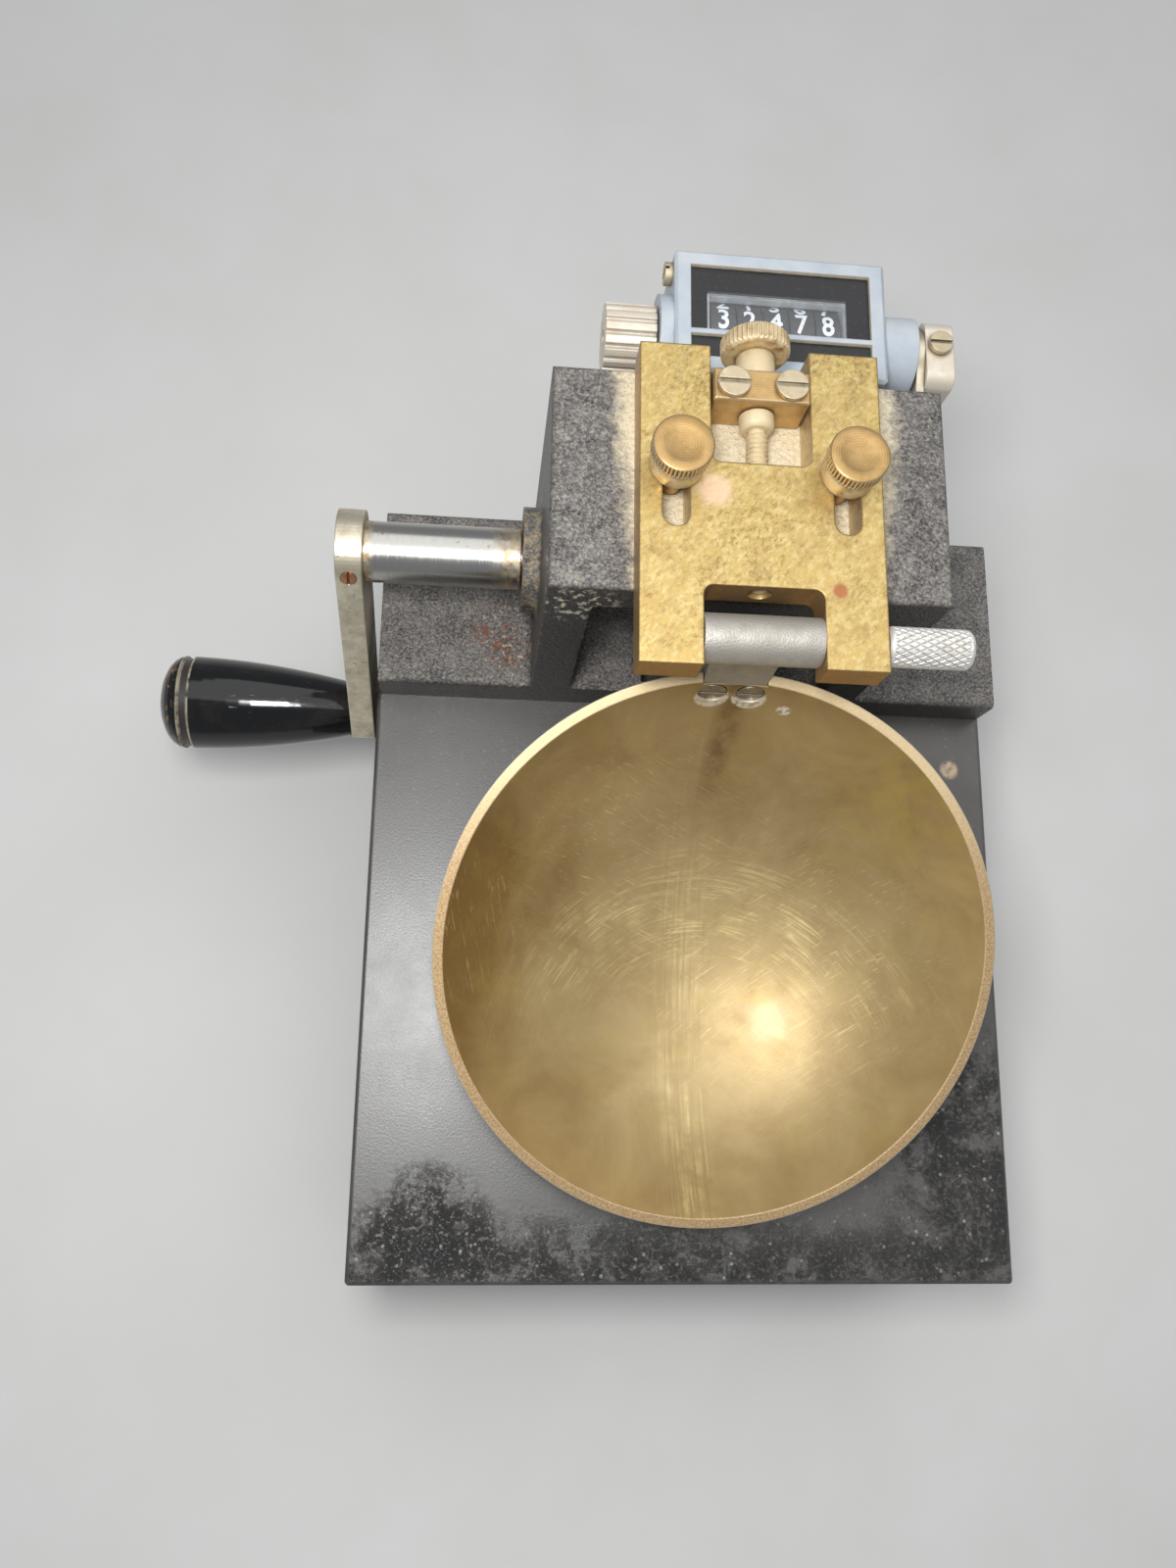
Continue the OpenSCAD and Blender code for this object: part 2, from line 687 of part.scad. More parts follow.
module frame_casting() {
  color("#3b3a3a") difference() {
    union() {
      // Foot flange with rounded upper edges, and the fillets that join it to the walls
      sheet_x(-flange_x, 2 * flange_x) translate([casting_front, 0])
        round_top_rect(flange_d, flange_t, flange_round);
      for (s = [0, 1]) mirror([s, 0, 0]) translate([bridge_x, casting_front + flange_d, flange_t])
        rotate([90, 0, 0]) linear_extrude(flange_d) corner_fill(foot_fillet);
      // Bridge with its opening, rounded across both directions
      intersection() {
        translate([0, casting_rear, 0]) rotate([90, 0, 0]) linear_extrude(casting_d) bridge_outline();
        sheet_x(-bridge_x, bridge_w) translate([casting_front, 0])
          round_top_rect(casting_d, bridge_h, bridge_round);
      }
      // Bearing boss with a fillet at its foot
      at_shaft() translate([over - bridge_x, 0, 0]) rotate([0, -90, 0]) rotate_extrude() {
        square([boss_r, boss_t + over]);
        translate([boss_r, over]) corner_fill(boss_fillet);
      }
    }
    // Room for the cam through the flange
    translate([-cam_w / 2 - cam_room, shaft_y - cam_slot, -over])
      cube([cam_w + 2 * cam_room, 2 * cam_slot, flange_t + 2 * over]);
    // Bearing bores
    at_shaft() rod_x(-boss_x - over, 2 * (boss_x + over), bush_r + fit_gap);
    // Tapped holes for the thumb screws, the screw block, the bracket and the base's screws
    for (s = [-1, 1]) {
      translate([s * lock_x, thumb_screw_y, beam_z - over])
        cylinder(h = beam_t + 2 * over, r = thumb_shank_r + run_gap);
      translate([s * block_screw_gap / 2, block_y + block_l / 2, bridge_h - blind_l])
        cylinder(h = blind_l + over, r = block_shank_r + fit_gap);
      translate([bolt_x, casting_rear - bracket_screw_l, counter_base + s * leaf_h / 4])
        rod_y(0, bracket_screw_l + over, bracket_screw_r + fit_gap);
    }
    casting_bolt_places() translate([0, 0, -over])
      cylinder(h = casting_bolt_l + over, r = casting_bolt_r + fit_gap);
  }
}

// Cross-section of the bridge: walls, beam and the opening between them
module bridge_outline() {
  difference() {
    translate([-bridge_x, 0]) round_top_rect(bridge_w, bridge_h, bridge_round);
    translate([-inner_x, flange_t]) difference() {
      round_top_rect(2 * inner_x, beam_z - flange_t, opening_round);
      corner_fill(foot_fillet);
      translate([2 * inner_x, 0]) mirror([1, 0]) corner_fill(foot_fillet);
    }
  }
}

module casting_bolts() {
  // Screws from the base's underside into the flange
  color("silver") casting_bolt_places() translate([0, 0, casting_bolt_recess - base_h])
    rotate([180, 0, 0]) slotted_screw(casting_head_r, casting_bolt_r, casting_bolt_r,
      base_h - casting_bolt_recess + casting_bolt_l - over);
}

module shaft_bushings() {
  color("#8a6a3a") at_shaft() difference() {
    union() {
      rod_x(-boss_x, boss_t + wall_t, bush_r);
      rod_x(inner_x, wall_t, bush_r);
    }
    rod_x(-boss_x - over, 2 * (boss_x + over), shaft_r + run_gap);
  }
}

module crank_shaft() {
  color("#8d9288") at_shaft()
    rod_x(shaft_end - arm_out_x, arm_out_x + disc_x + disc_w, shaft_r);
}

module shaft_sleeve() {
  color("gainsboro") at_shaft() difference() {
    rod_x(-arm_x, sleeve_l, sleeve_r);
    rod_x(-arm_x - over, sleeve_l + 2 * over, shaft_r + fit_gap);
  }
}

module crank_arm() {
  color("#bdb59c") at_shaft() rotate([-arm_angle, 0, 0]) difference() {
    sheet_x(-arm_out_x, arm_t) link_outline(arm_r, arm_tip_r, arm_l);
    rod_x(-arm_out_x - over, arm_t + 2 * over, shaft_r + fit_gap);
    translate([0, 0, -arm_l]) rod_x(-arm_out_x - over, arm_t + 2 * over, spindle_r + fit_gap);
    translate([-arm_x - arm_t / 2, 0, 0]) rod_y(-arm_r - over, arm_r + over, arm_screw_r + fit_gap);
  }
}

module arm_screw() {
  // Headless set screw through the arm's front edge, down to the shaft
  set_l = arm_r - shaft_r;
  slot_w = arm_screw_r * slot_share;
  color("#b8734a") at_shaft() rotate([-arm_angle, 0, 0]) translate([-arm_x - arm_t / 2, 0, 0])
    difference() {
      rod_y(-shaft_r - fit_gap - set_l, set_l, arm_screw_r);
      translate([-slot_w / 2, -shaft_r - set_l - over, -arm_screw_r - over])
        cube([slot_w, over + slot_w, 2 * (arm_screw_r + over)]);
    }
}

// Places a piece drawn along the handle's axis: x = 0 at the arm, -X to the tip
module at_handle() {
  translate([-arm_out_x, handle_y, handle_z]) children();
}

module handle_spindle() {
  // Rod riveted in the arm, with a slotted head in the grip's far end
  color("silver") at_handle() {
    rod_x(spindle_recess - grip_l, grip_l - spindle_recess + arm_t, spindle_r);
    translate([spindle_recess - grip_l, 0, 0]) rotate([0, -90, 0])
      slotted_screw(spindle_head_r, spindle_recess / 2, spindle_r, over);
  }
}

module handle_grip() {
  color("#101010") at_handle() difference() {
    rotate([0, -90, 0]) rotate_extrude($fn = 72) difference() {
      polygon(grip_outline);
      translate([grip_r - groove_t, grip_straight - groove_w]) square([over, groove_w]);
    }
    rod_x(-grip_l - over, grip_l + 2 * over, spindle_r + run_gap);
    rod_x(-grip_l - over, spindle_recess + over + run_gap, spindle_head_r + spot_room);
  }
}

module lift_cam() {
  color("#7d7f80") at_shaft() difference() {
    union() {
      sheet_x(-cam_w / 2, cam_w) rotate(cam_turn) polygon([for (a = [0 : 5 : 360])
        cam_r * lookup(a, cam_rise) * [cos(a), sin(a)]]);
      rod_x(-hub_l / 2, hub_l, hub_r);
    }
    rod_x(-hub_l, 2 * hub_l, shaft_r + fit_gap);
    for (s = [-1, 1]) translate([s * (hub_l + cam_w) / 4, 0, 0])
      cylinder(h = hub_r + over, r = cam_screw_r + fit_gap);
  }
}

module cam_screws() {
  color("dimgray") at_shaft() for (s = [-1, 1])
    translate([s * (hub_l + cam_w) / 4, 0, shaft_r + fit_gap])
      cylinder(h = hub_r - shaft_r - set_screw_sink, r = cam_screw_r);
}

module eccentric_disc() {
  color("silver") at_shaft() difference() {
    translate([0, -disc_throw, 0]) rod_x(disc_x, disc_w, disc_r);
    rod_x(disc_x - over, disc_w + 2 * over, shaft_r + fit_gap);
    translate([disc_x + disc_w / 2, -disc_r - disc_throw - over, 0]) rotate([-90, 0, 0])
      cylinder(h = disc_r + disc_throw + over, r = disc_screw_r + fit_gap);
  }
}

module disc_screw() {
  reach = disc_r + disc_throw - set_screw_sink;
  color("dimgray") at_shaft() translate([disc_x + disc_w / 2, 0, 0])
    rod_y(-reach, reach - shaft_r - fit_gap, disc_screw_r);
}

module cup_bowl() {
  color("#a8834a") difference() {
    at_cup() rotate_extrude($fn = 160) intersection() {
      difference() {
        circle(cup_out_r, $fn = 160);
        circle(cup_r, $fn = 160);
      }
      // The rim is turned down from outside
      translate([0, -cup_out_r]) square([rim_in_r + rim_w, cup_out_r + rim_z]);
    }
    // Notch that seats the hanger
    at_rim() translate([-hanger_tail_w / 2 - notch_room, -cup_wall * 2, -rim_notch - fit_gap])
      cube([hanger_tail_w + 2 * notch_room, cup_wall * 4, rim_notch + cup_wall * 4]);
    at_rim() cup_screw_places() {
      rod_y(-2 * cup_wall, 4 * cup_wall, cup_shank_r + fit_gap);
      rod_y(-2 * cup_wall, 2 * cup_wall - cup_screw_seat, cup_screw_r + spot_room);
    }
  }
}

// Places of the two screws that hold the cup
module cup_screw_places() {
  for (s = [-1, 1]) translate([s * cup_screw_gap / 2, 0, -cup_screw_drop]) children();
}

module cup_hanger() {
  half = hanger_w / 2;
  tail_half = hanger_tail_w / 2;
  color("#9c988c") at_rim() difference() {
    union() {
      translate([0, pivot_out, pivot_up]) rod_x(-barrel_l / 2, barrel_l, barrel_r);
      // Neck from the rim to the barrel, in line with the cup's wall
      translate([0, cup_wall / 2, 0]) rotate([90, 0, 0]) linear_extrude(cup_wall)
        polygon([[-tail_half, -rim_notch], [tail_half, -rim_notch], [tail_half, 0], [half, pivot_up],
          [-half, pivot_up], [-tail_half, 0]]);
      // Tail behind the cup
      translate([0, cup_wall / 2 + hanger_t, 0]) rotate([90, 0, 0]) linear_extrude(hanger_t)
        polygon([[-tail_half, -tail_l], [tail_half, -tail_l], [tail_half, 0], [half, pivot_up - barrel_r],
          [-half, pivot_up - barrel_r], [-tail_half, 0]]);
    }
    translate([0, pivot_out, pivot_up]) rod_x(-barrel_l, 2 * barrel_l, pin_r + run_gap);
    cup_screw_places() rod_y(0, tail_face + over, cup_shank_r + fit_gap);
  }
}

module cup_screws() {
  color("silver") at_rim() cup_screw_places() translate([0, -cup_screw_seat, 0]) rotate([90, 0, 0])
    slotted_screw(cup_screw_r, cup_screw_h, cup_shank_r, cup_screw_seat + tail_face - spot_room);
}

module cam_follower() {
  // Hard pad on the hanger's tail, level with the shaft
  color("#8d8f90") at_rim() sheet_x(-hanger_tail_w / 2, hanger_tail_w) translate([tail_face, shaft_up])
    rotate(-90) translate([-pad_h / 2, 0]) round_top_rect(pad_h, pad_t, pad_round);
}

module hinge_pin() {
  grip_x = plate_w / 2 + free_gap;
  color("gainsboro") translate([0, pivot_y, pivot_z]) {
    rod_x(pin_end_t - plate_w / 2 + free_gap, plate_w + pin_grip_l / 2 - pin_end_t, pin_r);
    translate([grip_x, 0, 0]) rotate([0, 90, 0]) rotate_extrude() polygon([[0, 0],
      [pin_grip_r - pin_chamfer, 0], [pin_grip_r, pin_chamfer], [pin_grip_r, pin_grip_l - pin_chamfer],
      [pin_grip_r - pin_chamfer, pin_grip_l], [0, pin_grip_l]]);
  }
}

module adjusting_plate() {
  color("#b8963e") difference() {
    translate([0, plate_front, plate_z]) linear_extrude(plate_t) plate_outline();
    // Hinge bore, blind on the crank side
    translate([0, pivot_y, pivot_z]) rod_x(pin_end_t - plate_w / 2, plate_w, pin_r + run_gap);
    // Thread of the adjusting screw
    translate([0, 0, pivot_z])
      rod_y(plate_front + notch_l - over, plate_l - notch_l - rear_slot_l + 2 * over, screw_r + run_gap);
  }
}

// The plate seen from above, from its front edge at y = 0
module plate_outline() {
  difference() {
    translate([-plate_w / 2, 0]) square([plate_w, plate_l]);
    // Front notch for the hanger's barrel
    translate([-notch_half, -over]) round_top_rect(2 * notch_half, notch_l + over, notch_round);
    // Rear slot for the screw block
    translate([0, plate_l + over]) mirror([0, 1]) translate([-rear_slot_half, 0])
      round_top_rect(2 * rear_slot_half, rear_slot_l + over, notch_round);
    for (s = [-1, 1]) translate([s * lock_x, lock_y + lock_w / 2]) {
      circle(lock_w / 2);
      translate([-lock_w / 2, 0]) square([lock_w, lock_l - lock_w]);
      translate([0, lock_l - lock_w]) circle(lock_w / 2);
    }
  }
}

// Thumb screw that clamps the plate: knurled head, smooth collar and shank
module thumb_screw(side) {
  color("#a0763a") translate([side * lock_x, thumb_screw_y, plate_top + run_gap]) {
    translate([0, 0, -plate_t - beam_t]) cylinder(h = plate_t + beam_t + over, r = thumb_shank_r);
    cylinder(h = thumb_collar_h, r = thumb_collar_r);
    translate([0, 0, thumb_collar_h])
      knurled_knob(thumb_r, thumb_h, thumb_ridges, ridge_depth, thumb_chamfer);
  }
}

module screw_block() {
  color("#a87a45") difference() {
    translate([-block_w / 2, block_y, bridge_h]) chamfered_box([block_w, block_l, block_h], block_chamfer);
    translate([0, 0, pivot_z]) rod_y(block_y - over, block_l + 2 * over, screw_r + run_gap);
    for (s = [-1, 1]) translate([s * block_screw_gap / 2, block_y + block_l / 2, bridge_h - over])
      cylinder(h = block_h + 2 * over, r = block_shank_r + fit_gap);
  }
}

module block_screws() {
  color("#c9b98f") for (s = [-1, 1])
    translate([s * block_screw_gap / 2, block_y + block_l / 2, bridge_h + block_h])
      slotted_screw(block_screw_r, block_screw_h, block_shank_r, block_h + blind_l - over);
}

module adjusting_screw() {
  // Threaded rod held in the block between its collar and its hub
  color("#a8864c") translate([0, 0, pivot_z]) {
    rod_y(thread_y, knob_y + knob_t + screw_end - thread_y, screw_r);
    rod_y(block_y - run_gap - screw_collar_l, screw_collar_l, screw_collar_r);
    rod_y(knob_y - screw_hub_l, screw_hub_l, screw_hub_r);
  }
}

module adjusting_knob() {
  color("#b08a48") translate([0, knob_y, pivot_z]) rotate([-90, 0, 0]) difference() {
    knurled_knob(knob_r, knob_t, knob_ridges, ridge_depth, knob_chamfer);
    translate([0, 0, -over]) cylinder(h = knob_t + 2 * over, r = screw_r + fit_gap);
  }
}

module counter_bracket() {
  leaf_x = bridge_x - leaf_w;
  shelf_x = counter_x0 + frame_w;
  shelf_l = counter_y + counter_d - frame_w - casting_rear;
  color("#5c5c5a") difference() {
    union() {
      translate([leaf_x, casting_rear, counter_base - leaf_h / 2]) cube([leaf_w, bracket_t, leaf_h]);
      // Shelf under the counter, with the tab that joins it to the leaf
      translate([leaf_x, casting_rear, counter_base - bracket_t]) cube([leaf_w, shelf_l, bracket_t]);
      translate([shelf_x, counter_y, counter_base - bracket_t])
        cube([bridge_x - shelf_x, counter_d - frame_w, bracket_t]);
    }
    for (s = [-1, 1]) {
      translate([bolt_x, 0, counter_base + s * leaf_h / 4])
        rod_y(casting_rear - over, bracket_t + 2 * over, bracket_screw_r + fit_gap);
      translate([counter_x + s * counter_w / 4, drum_y, counter_base - bracket_t - over])
        cylinder(h = bracket_t + 2 * over, r = bracket_screw_r + fit_gap);
    }
  }
}

module bracket_screws() {
  color("silver") for (s = [-1, 1]) {
    translate([bolt_x, casting_rear + bracket_t, counter_base + s * leaf_h / 4])
      rotate([-90, 0, 0]) slotted_screw(bracket_head_r, bracket_screw_r, bracket_screw_r,
        bracket_t + bracket_screw_l - over);
    translate([counter_x + s * counter_w / 4, drum_y, counter_base - bracket_t]) rotate([180, 0, 0])
      slotted_screw(bracket_head_r, bracket_screw_r, bracket_screw_r, bracket_t + counter_screw_l);
  }
}

module counter_housing() {
  color("#b9c6d6") difference() {
    union() {
      translate([counter_x0, counter_y, counter_base])
        chamfered_box([counter_w, counter_d, counter_h], counter_chamfer);
      at_drum() rod_x(counter_x0 - left_boss_t, left_boss_t + over, left_boss_r);
      at_drum() rod_x(counter_x1 - over, right_boss_t + over, right_boss_r);
    }
    // Two sunk fields in the face, parted by a bar
    translate([field_x0, field_y0, counter_top - field_t]) cube([field_w, field_l, field_t + over]);
    translate([field_x0, low_field_y0, counter_top - field_t]) cube([field_w, low_field_l, field_t + over]);
    // Drum chamber and its window
    at_drum() rod_x(drum_x - drum_half, window_w, drum_room);
    translate([drum_x - drum_half, window_y0, drum_z]) cube([window_w, window_l, counter_h]);
    // Bearings of the drum's shaft and the lever's spindle
    at_drum() rod_x(counter_x0 - left_boss_t - over,
      drum_x + drum_half + shaft_seat + left_boss_t + over - counter_x0, counter_shaft_r + run_gap);
    at_drum() rod_x(counter_x1 - spindle_seat, right_boss_t + spindle_seat + over, drive_r + run_gap);
    // Tapped holes for the screws below and for the one on the end
    for (s = [-1, 1]) translate([counter_x + s * counter_w / 4, drum_y, counter_base - over])
      cylinder(h = over + counter_screw_l + spot_room, r = bracket_screw_r + fit_gap);
    translate([0, end_screw_y, end_screw_z])
      rod_x(counter_x0 - over, end_screw_r + over, end_shank_r + fit_gap);
  }
}

module counter_labels() {
  color("#1d1d1f") {
    translate([0, 0, counter_top - field_t]) difference() {
      translate([field_x0 + run_gap, field_y0 + run_gap, 0])
        cube([field_w - 2 * run_gap, field_l - 2 * run_gap, label_t]);
      translate([drum_x - drum_half - pane_seat - run_gap, field_y0 - over, -over])
        cube([window_w + 2 * (pane_seat + run_gap), window_l + 2 * pane_seat + run_gap + over,
          label_t + 2 * over]);
    }
    translate([field_x0 + run_gap, low_field_y0 + run_gap, counter_top - field_t])
      cube([field_w - 2 * run_gap, low_field_l - 2 * run_gap, label_t]);
  }
}

module counter_window() {
  color("#dfe8ee") translate([drum_x - drum_half - pane_seat, field_y0, counter_top - field_t])
    cube([window_w + 2 * pane_seat, window_l + 2 * pane_seat, pane_t]);
}

module counter_shaft() {
  color("silver") at_drum()
    rod_x(reset_x + shaft_end, drum_x + drum_half + shaft_seat - free_gap - reset_x - shaft_end,
      counter_shaft_r);
}

module reset_knob() {
  color("#cfc8b8") at_drum() difference() {
    rod_x(reset_x, reset_l, reset_r);
    for (i = [1 : reset_grooves]) rotate([i * 360 / reset_grooves, 0, 0])
      translate([0, 0, reset_r]) rod_x(reset_x - over, reset_l + 2 * over, reset_groove_r);
    rod_x(reset_x - over, reset_l + 2 * over, counter_shaft_r + fit_gap);
  }
}

// Number wheel, counted from the left, with a turned recess in its side
module number_wheel(i) {
  wheel_x = drum_x + (i - (wheel_count - 1) / 2) * wheel_pitch - wheel_w / 2;
  color("#18181a") at_drum() difference() {
    rod_x(wheel_x, wheel_w, wheel_r);
    rod_x(wheel_x - over, wheel_w + 2 * over, counter_shaft_r + run_gap);
    difference() {
      rod_x(wheel_x - over, over + wheel_recess, wheel_r - wheel_wall);
      rod_x(wheel_x - 2 * over, 4 * over, counter_shaft_r + wheel_hub);
    }
  }
}

module counter_lever() {
  dy = lever_tip_y - drum_y;
  dz = lever_tip_z - drum_z;
  spindle_x = counter_x1 - spindle_seat + free_gap;
  color("#b9b4a8") at_drum() {
    rod_x(spindle_x, clamp_x + clamp_w + shaft_end - spindle_x, drive_r);
    sheet_x(drive_x, lever_t) rotate(atan2(dy, -dz)) link_outline(lever_r, lever_tip_r, norm([dy, dz]));
  }
}

module lever_clamp() {
  color("#c4bfb2") at_drum() difference() {
    sheet_x(clamp_x + fit_gap, clamp_w) translate([-clamp_front, -lever_r])
      round_rect(clamp_l, 2 * lever_r, clamp_round);
    rod_x(clamp_x - over, clamp_w + 2 * over, drive_r + fit_gap);
    translate([clamp_x + clamp_w / 2, 0, 0]) cylinder(h = lever_r + over, r = clamp_shank_r + fit_gap);
  }
}

// A rectangle from its low corner, with four round corners
module round_rect(w, h, r) {
  translate([r, 0]) square([w - 2 * r, h]);
  translate([0, r]) square([w, h - 2 * r]);
  for (x = [r, w - r], y = [r, h - r]) translate([x, y]) circle(r);
}

module clamp_screw() {
  color("#d2cdbf") at_drum() translate([clamp_x + clamp_w / 2, 0, lever_r])
    slotted_screw(clamp_screw_r, clamp_shank_r, clamp_shank_r, lever_r - drive_r - run_gap);
}

module counter_screws() {
  color("#cdb98a") translate([counter_x0, end_screw_y, end_screw_z]) rotate([0, -90, 0])
    slotted_screw(end_screw_r, end_screw_h, end_shank_r, end_screw_r - spot_room);
}

base_block();
rubber_feet();
foot_screws();
frame_casting();
casting_bolts();
shaft_bushings();
crank_shaft();
shaft_sleeve();
crank_arm();
arm_screw();
handle_spindle();
handle_grip();
lift_cam();
cam_screws();
eccentric_disc();
disc_screw();
cup_bowl();
cup_hanger();
cup_screws();
cam_follower();
hinge_pin();
adjusting_plate();
thumb_screw(-1);  // thumb_screw_left
thumb_screw(1);  // thumb_screw_right
screw_block();
block_screws();
adjusting_screw();
adjusting_knob();
counter_bracket();
bracket_screws();
counter_housing();
counter_labels();
counter_window();
counter_shaft();
reset_knob();
number_wheel(0);  // number_wheel_1
number_wheel(1);  // number_wheel_2
number_wheel(2);  // number_wheel_3
number_wheel(3);  // number_wheel_4
number_wheel(4);  // number_wheel_5
counter_lever();
lever_clamp();
clamp_screw();
counter_screws();
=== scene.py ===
from math import cos, degrees, pi, radians

import bpy
from mathutils import Matrix, Vector


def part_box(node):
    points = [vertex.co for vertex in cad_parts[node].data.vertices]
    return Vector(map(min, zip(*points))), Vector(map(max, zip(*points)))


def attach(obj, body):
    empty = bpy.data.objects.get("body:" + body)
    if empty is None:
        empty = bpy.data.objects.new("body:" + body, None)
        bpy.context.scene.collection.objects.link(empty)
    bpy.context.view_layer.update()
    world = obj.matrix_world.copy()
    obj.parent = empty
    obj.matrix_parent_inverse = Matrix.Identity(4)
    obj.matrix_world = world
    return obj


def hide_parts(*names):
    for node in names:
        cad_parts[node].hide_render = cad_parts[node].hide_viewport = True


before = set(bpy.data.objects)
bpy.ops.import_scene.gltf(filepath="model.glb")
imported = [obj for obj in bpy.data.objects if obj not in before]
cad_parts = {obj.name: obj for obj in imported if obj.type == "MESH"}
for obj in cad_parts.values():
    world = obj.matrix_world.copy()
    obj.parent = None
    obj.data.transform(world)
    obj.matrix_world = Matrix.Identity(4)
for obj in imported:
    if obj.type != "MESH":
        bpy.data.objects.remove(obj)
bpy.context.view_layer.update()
bpy.ops.object.select_all(action="DESELECT")
print("solids loaded:", len(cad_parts))

mm = 0.001

# Centres and axes that several finishes and pieces share, in millimetres
places = {
    "cup": (0, -26.643, 56.3),
    "cupTilt": 19.718,
    "shaft": (0, 54.5, 27.5),
    "arm": 24.3,
    "thumbScrews": (13.4, 54.3, 66.7),
    "knob": (0, 75.55, 63.525),
    "drum": (7.2, 90.9, 43.3),
    "plateTop": 66.7,
}

# The camera looks down from in front of the cup, a little left of it
cameraView = {"place": (-0.041776, -0.034346, 0.229020), "turnX": -13.139, "turnY": 5.316,
              "turnZ": -2.112, "lens": 27, "sensor": 36, "near": 0.005}


def addCamera(view):
    turn = Matrix.Identity(4)
    for axis in "ZYX":
        turn @= Matrix.Rotation(radians(view["turn" + axis]), 4, axis)
    bpy.ops.object.camera_add()
    camera = bpy.context.object
    camera.name = "viewFromAbove"
    camera.matrix_world = Matrix.Translation(view["place"]) @ turn.transposed()
    camera.data.lens = view["lens"]
    camera.data.sensor_width = view["sensor"]
    camera.data.clip_start = view["near"]
    bpy.context.scene.camera = camera


addCamera(cameraView)
print("camera placed")


def hexColour(code):
    # sRGB hex to linear values, opaque
    parts = [int(code[i:i + 2], 16) / 255 for i in (0, 2, 4)]
    return tuple(p / 12.92 if p <= 0.04045 else ((p + 0.055) / 1.055) ** 2.4 for p in parts) + (1,)


def findSocket(sockets, name):
    # a socket by number, or by name among those the node's settings leave in use
    if isinstance(name, int):
        return sockets[name]
    return next(s for s in sockets if s.name == name and not s.is_unavailable)


def outOf(source):
    # the socket itself, or a node's first output in use
    if isinstance(source, bpy.types.NodeSocket):
        return source
    return next(s for s in source.outputs if not s.is_unavailable)


def addNode(beside, kind, links=None, values=None, **settings):
    # one node beside another in its tree, with its settings, socket values and incoming links
    tree = beside.id_data
    node = tree.nodes.new("ShaderNode" + kind)
    for name, setting in settings.items():
        setattr(node, name, setting)
    for name, value in (values or {}).items():
        findSocket(node.inputs, name).default_value = value
    for name, source in (links or {}).items():
        tree.links.new(outOf(source), findSocket(node.inputs, name))
    return node


def startFinish(name, metallic, roughness, colour="808080", **values):
    # a finish with only its shader; returns it, the shader and the Object coordinates
    finish = bpy.data.materials.new(name)
    finish.use_nodes = True
    shader = finish.node_tree.nodes["Principled BSDF"]
    values.update({"Metallic": metallic, "Roughness": roughness, "Base Color": hexColour(colour)})
    for socket, value in values.items():
        shader.inputs[socket].default_value = value
    return finish, shader, addNode(shader, "TexCoord").outputs["Object"]


def ownFrame(coords, centre, turn=(0, 0, 0)):
    # coordinates counted from a piece's own centre and axes, whole and as X, Y and Z
    own = addNode(coords, "Mapping", {"Vector": coords}, vector_type="TEXTURE",
                  values={"Location": [c * mm for c in centre], "Rotation": [radians(t) for t in turn]})
    return own, addNode(own, "SeparateXYZ", {"Vector": own})


def fromAxis(at):
    # distance from the Z axis
    flat = addNode(at, "CombineXYZ", {"X": at.outputs["X"], "Y": at.outputs["Y"]})
    return addNode(at, "VectorMath", {0: flat}, operation="LENGTH").outputs["Value"]


def facing(shader, low, high):
    # 0 to 1 by how far a face looks up, between two heights of its normal
    normal = addNode(shader, "NewGeometry").outputs["Normal"]
    up = addNode(shader, "SeparateXYZ", {"Vector": normal}).outputs["Z"]
    return addNode(shader, "MapRange", {"Value": up}, {"From Min": low, "From Max": high})


def grains(coords, size, low, high, detail=4, rough=0.6, bend=0, turn=(0, 0, 0), stretch=None):
    # 0 to 1 by a noise with features of this size in millimetres, between two levels of
    # it; turned and stretched it gives scratches
    if stretch:
        coords = addNode(coords, "Mapping", {"Vector": coords}, vector_type="TEXTURE",
                         values={"Rotation": [radians(t) for t in turn], "Scale": [1 / s for s in stretch]})
    noise = addNode(coords, "TexNoise", {"Vector": coords},
                    {"Scale": 1 / (size * mm), "Detail": detail, "Roughness": rough, "Distortion": bend})
    return addNode(noise, "MapRange", {"Value": noise}, {"From Min": low, "From Max": high})


def within(value, low, high, soft):
    # 1 where a value lies between low and high, with soft edges, all in millimetres
    rise, fall = [addNode(value, "MapRange", {"Value": value}, interpolation_type="SMOOTHSTEP",
                          values={"From Min": (edge - inward) * mm, "From Max": (edge + inward) * mm})
                  for edge, inward in ((low, soft), (high, -soft))]
    return addNode(value, "Math", {0: rise, 1: fall}, operation="MULTIPLY")


def spot(coords, centre, size, soft):
    # 1 inside a round spot, 0 past its soft edge
    away = addNode(coords, "VectorMath", {0: coords}, {1: [c * mm for c in centre]},
                   operation="DISTANCE").outputs["Value"]
    return addNode(coords, "MapRange", {"Value": away}, interpolation_type="SMOOTHSTEP",
                   values={"From Min": (size + soft) * mm, "From Max": (size - soft) * mm})


def overlap(whole, *factors):
    # where all these masks hold at once; a plain number weakens the result
    for factor in factors:
        plain = isinstance(factor, (int, float))
        whole = addNode(whole, "Math", {0: whole} if plain else {0: whole, 1: factor},
                        {1: factor} if plain else None, operation="MULTIPLY", use_clamp=True)
    return whole


def gather(*masks):
    # where any of these masks holds; each is a mask, or what overlap takes
    whole, *others = [overlap(*mask) if isinstance(mask, tuple) else mask for mask in masks]
    for other in others:
        whole = addNode(whole, "Math", {0: whole, 1: other}, operation="ADD", use_clamp=True)
    return whole


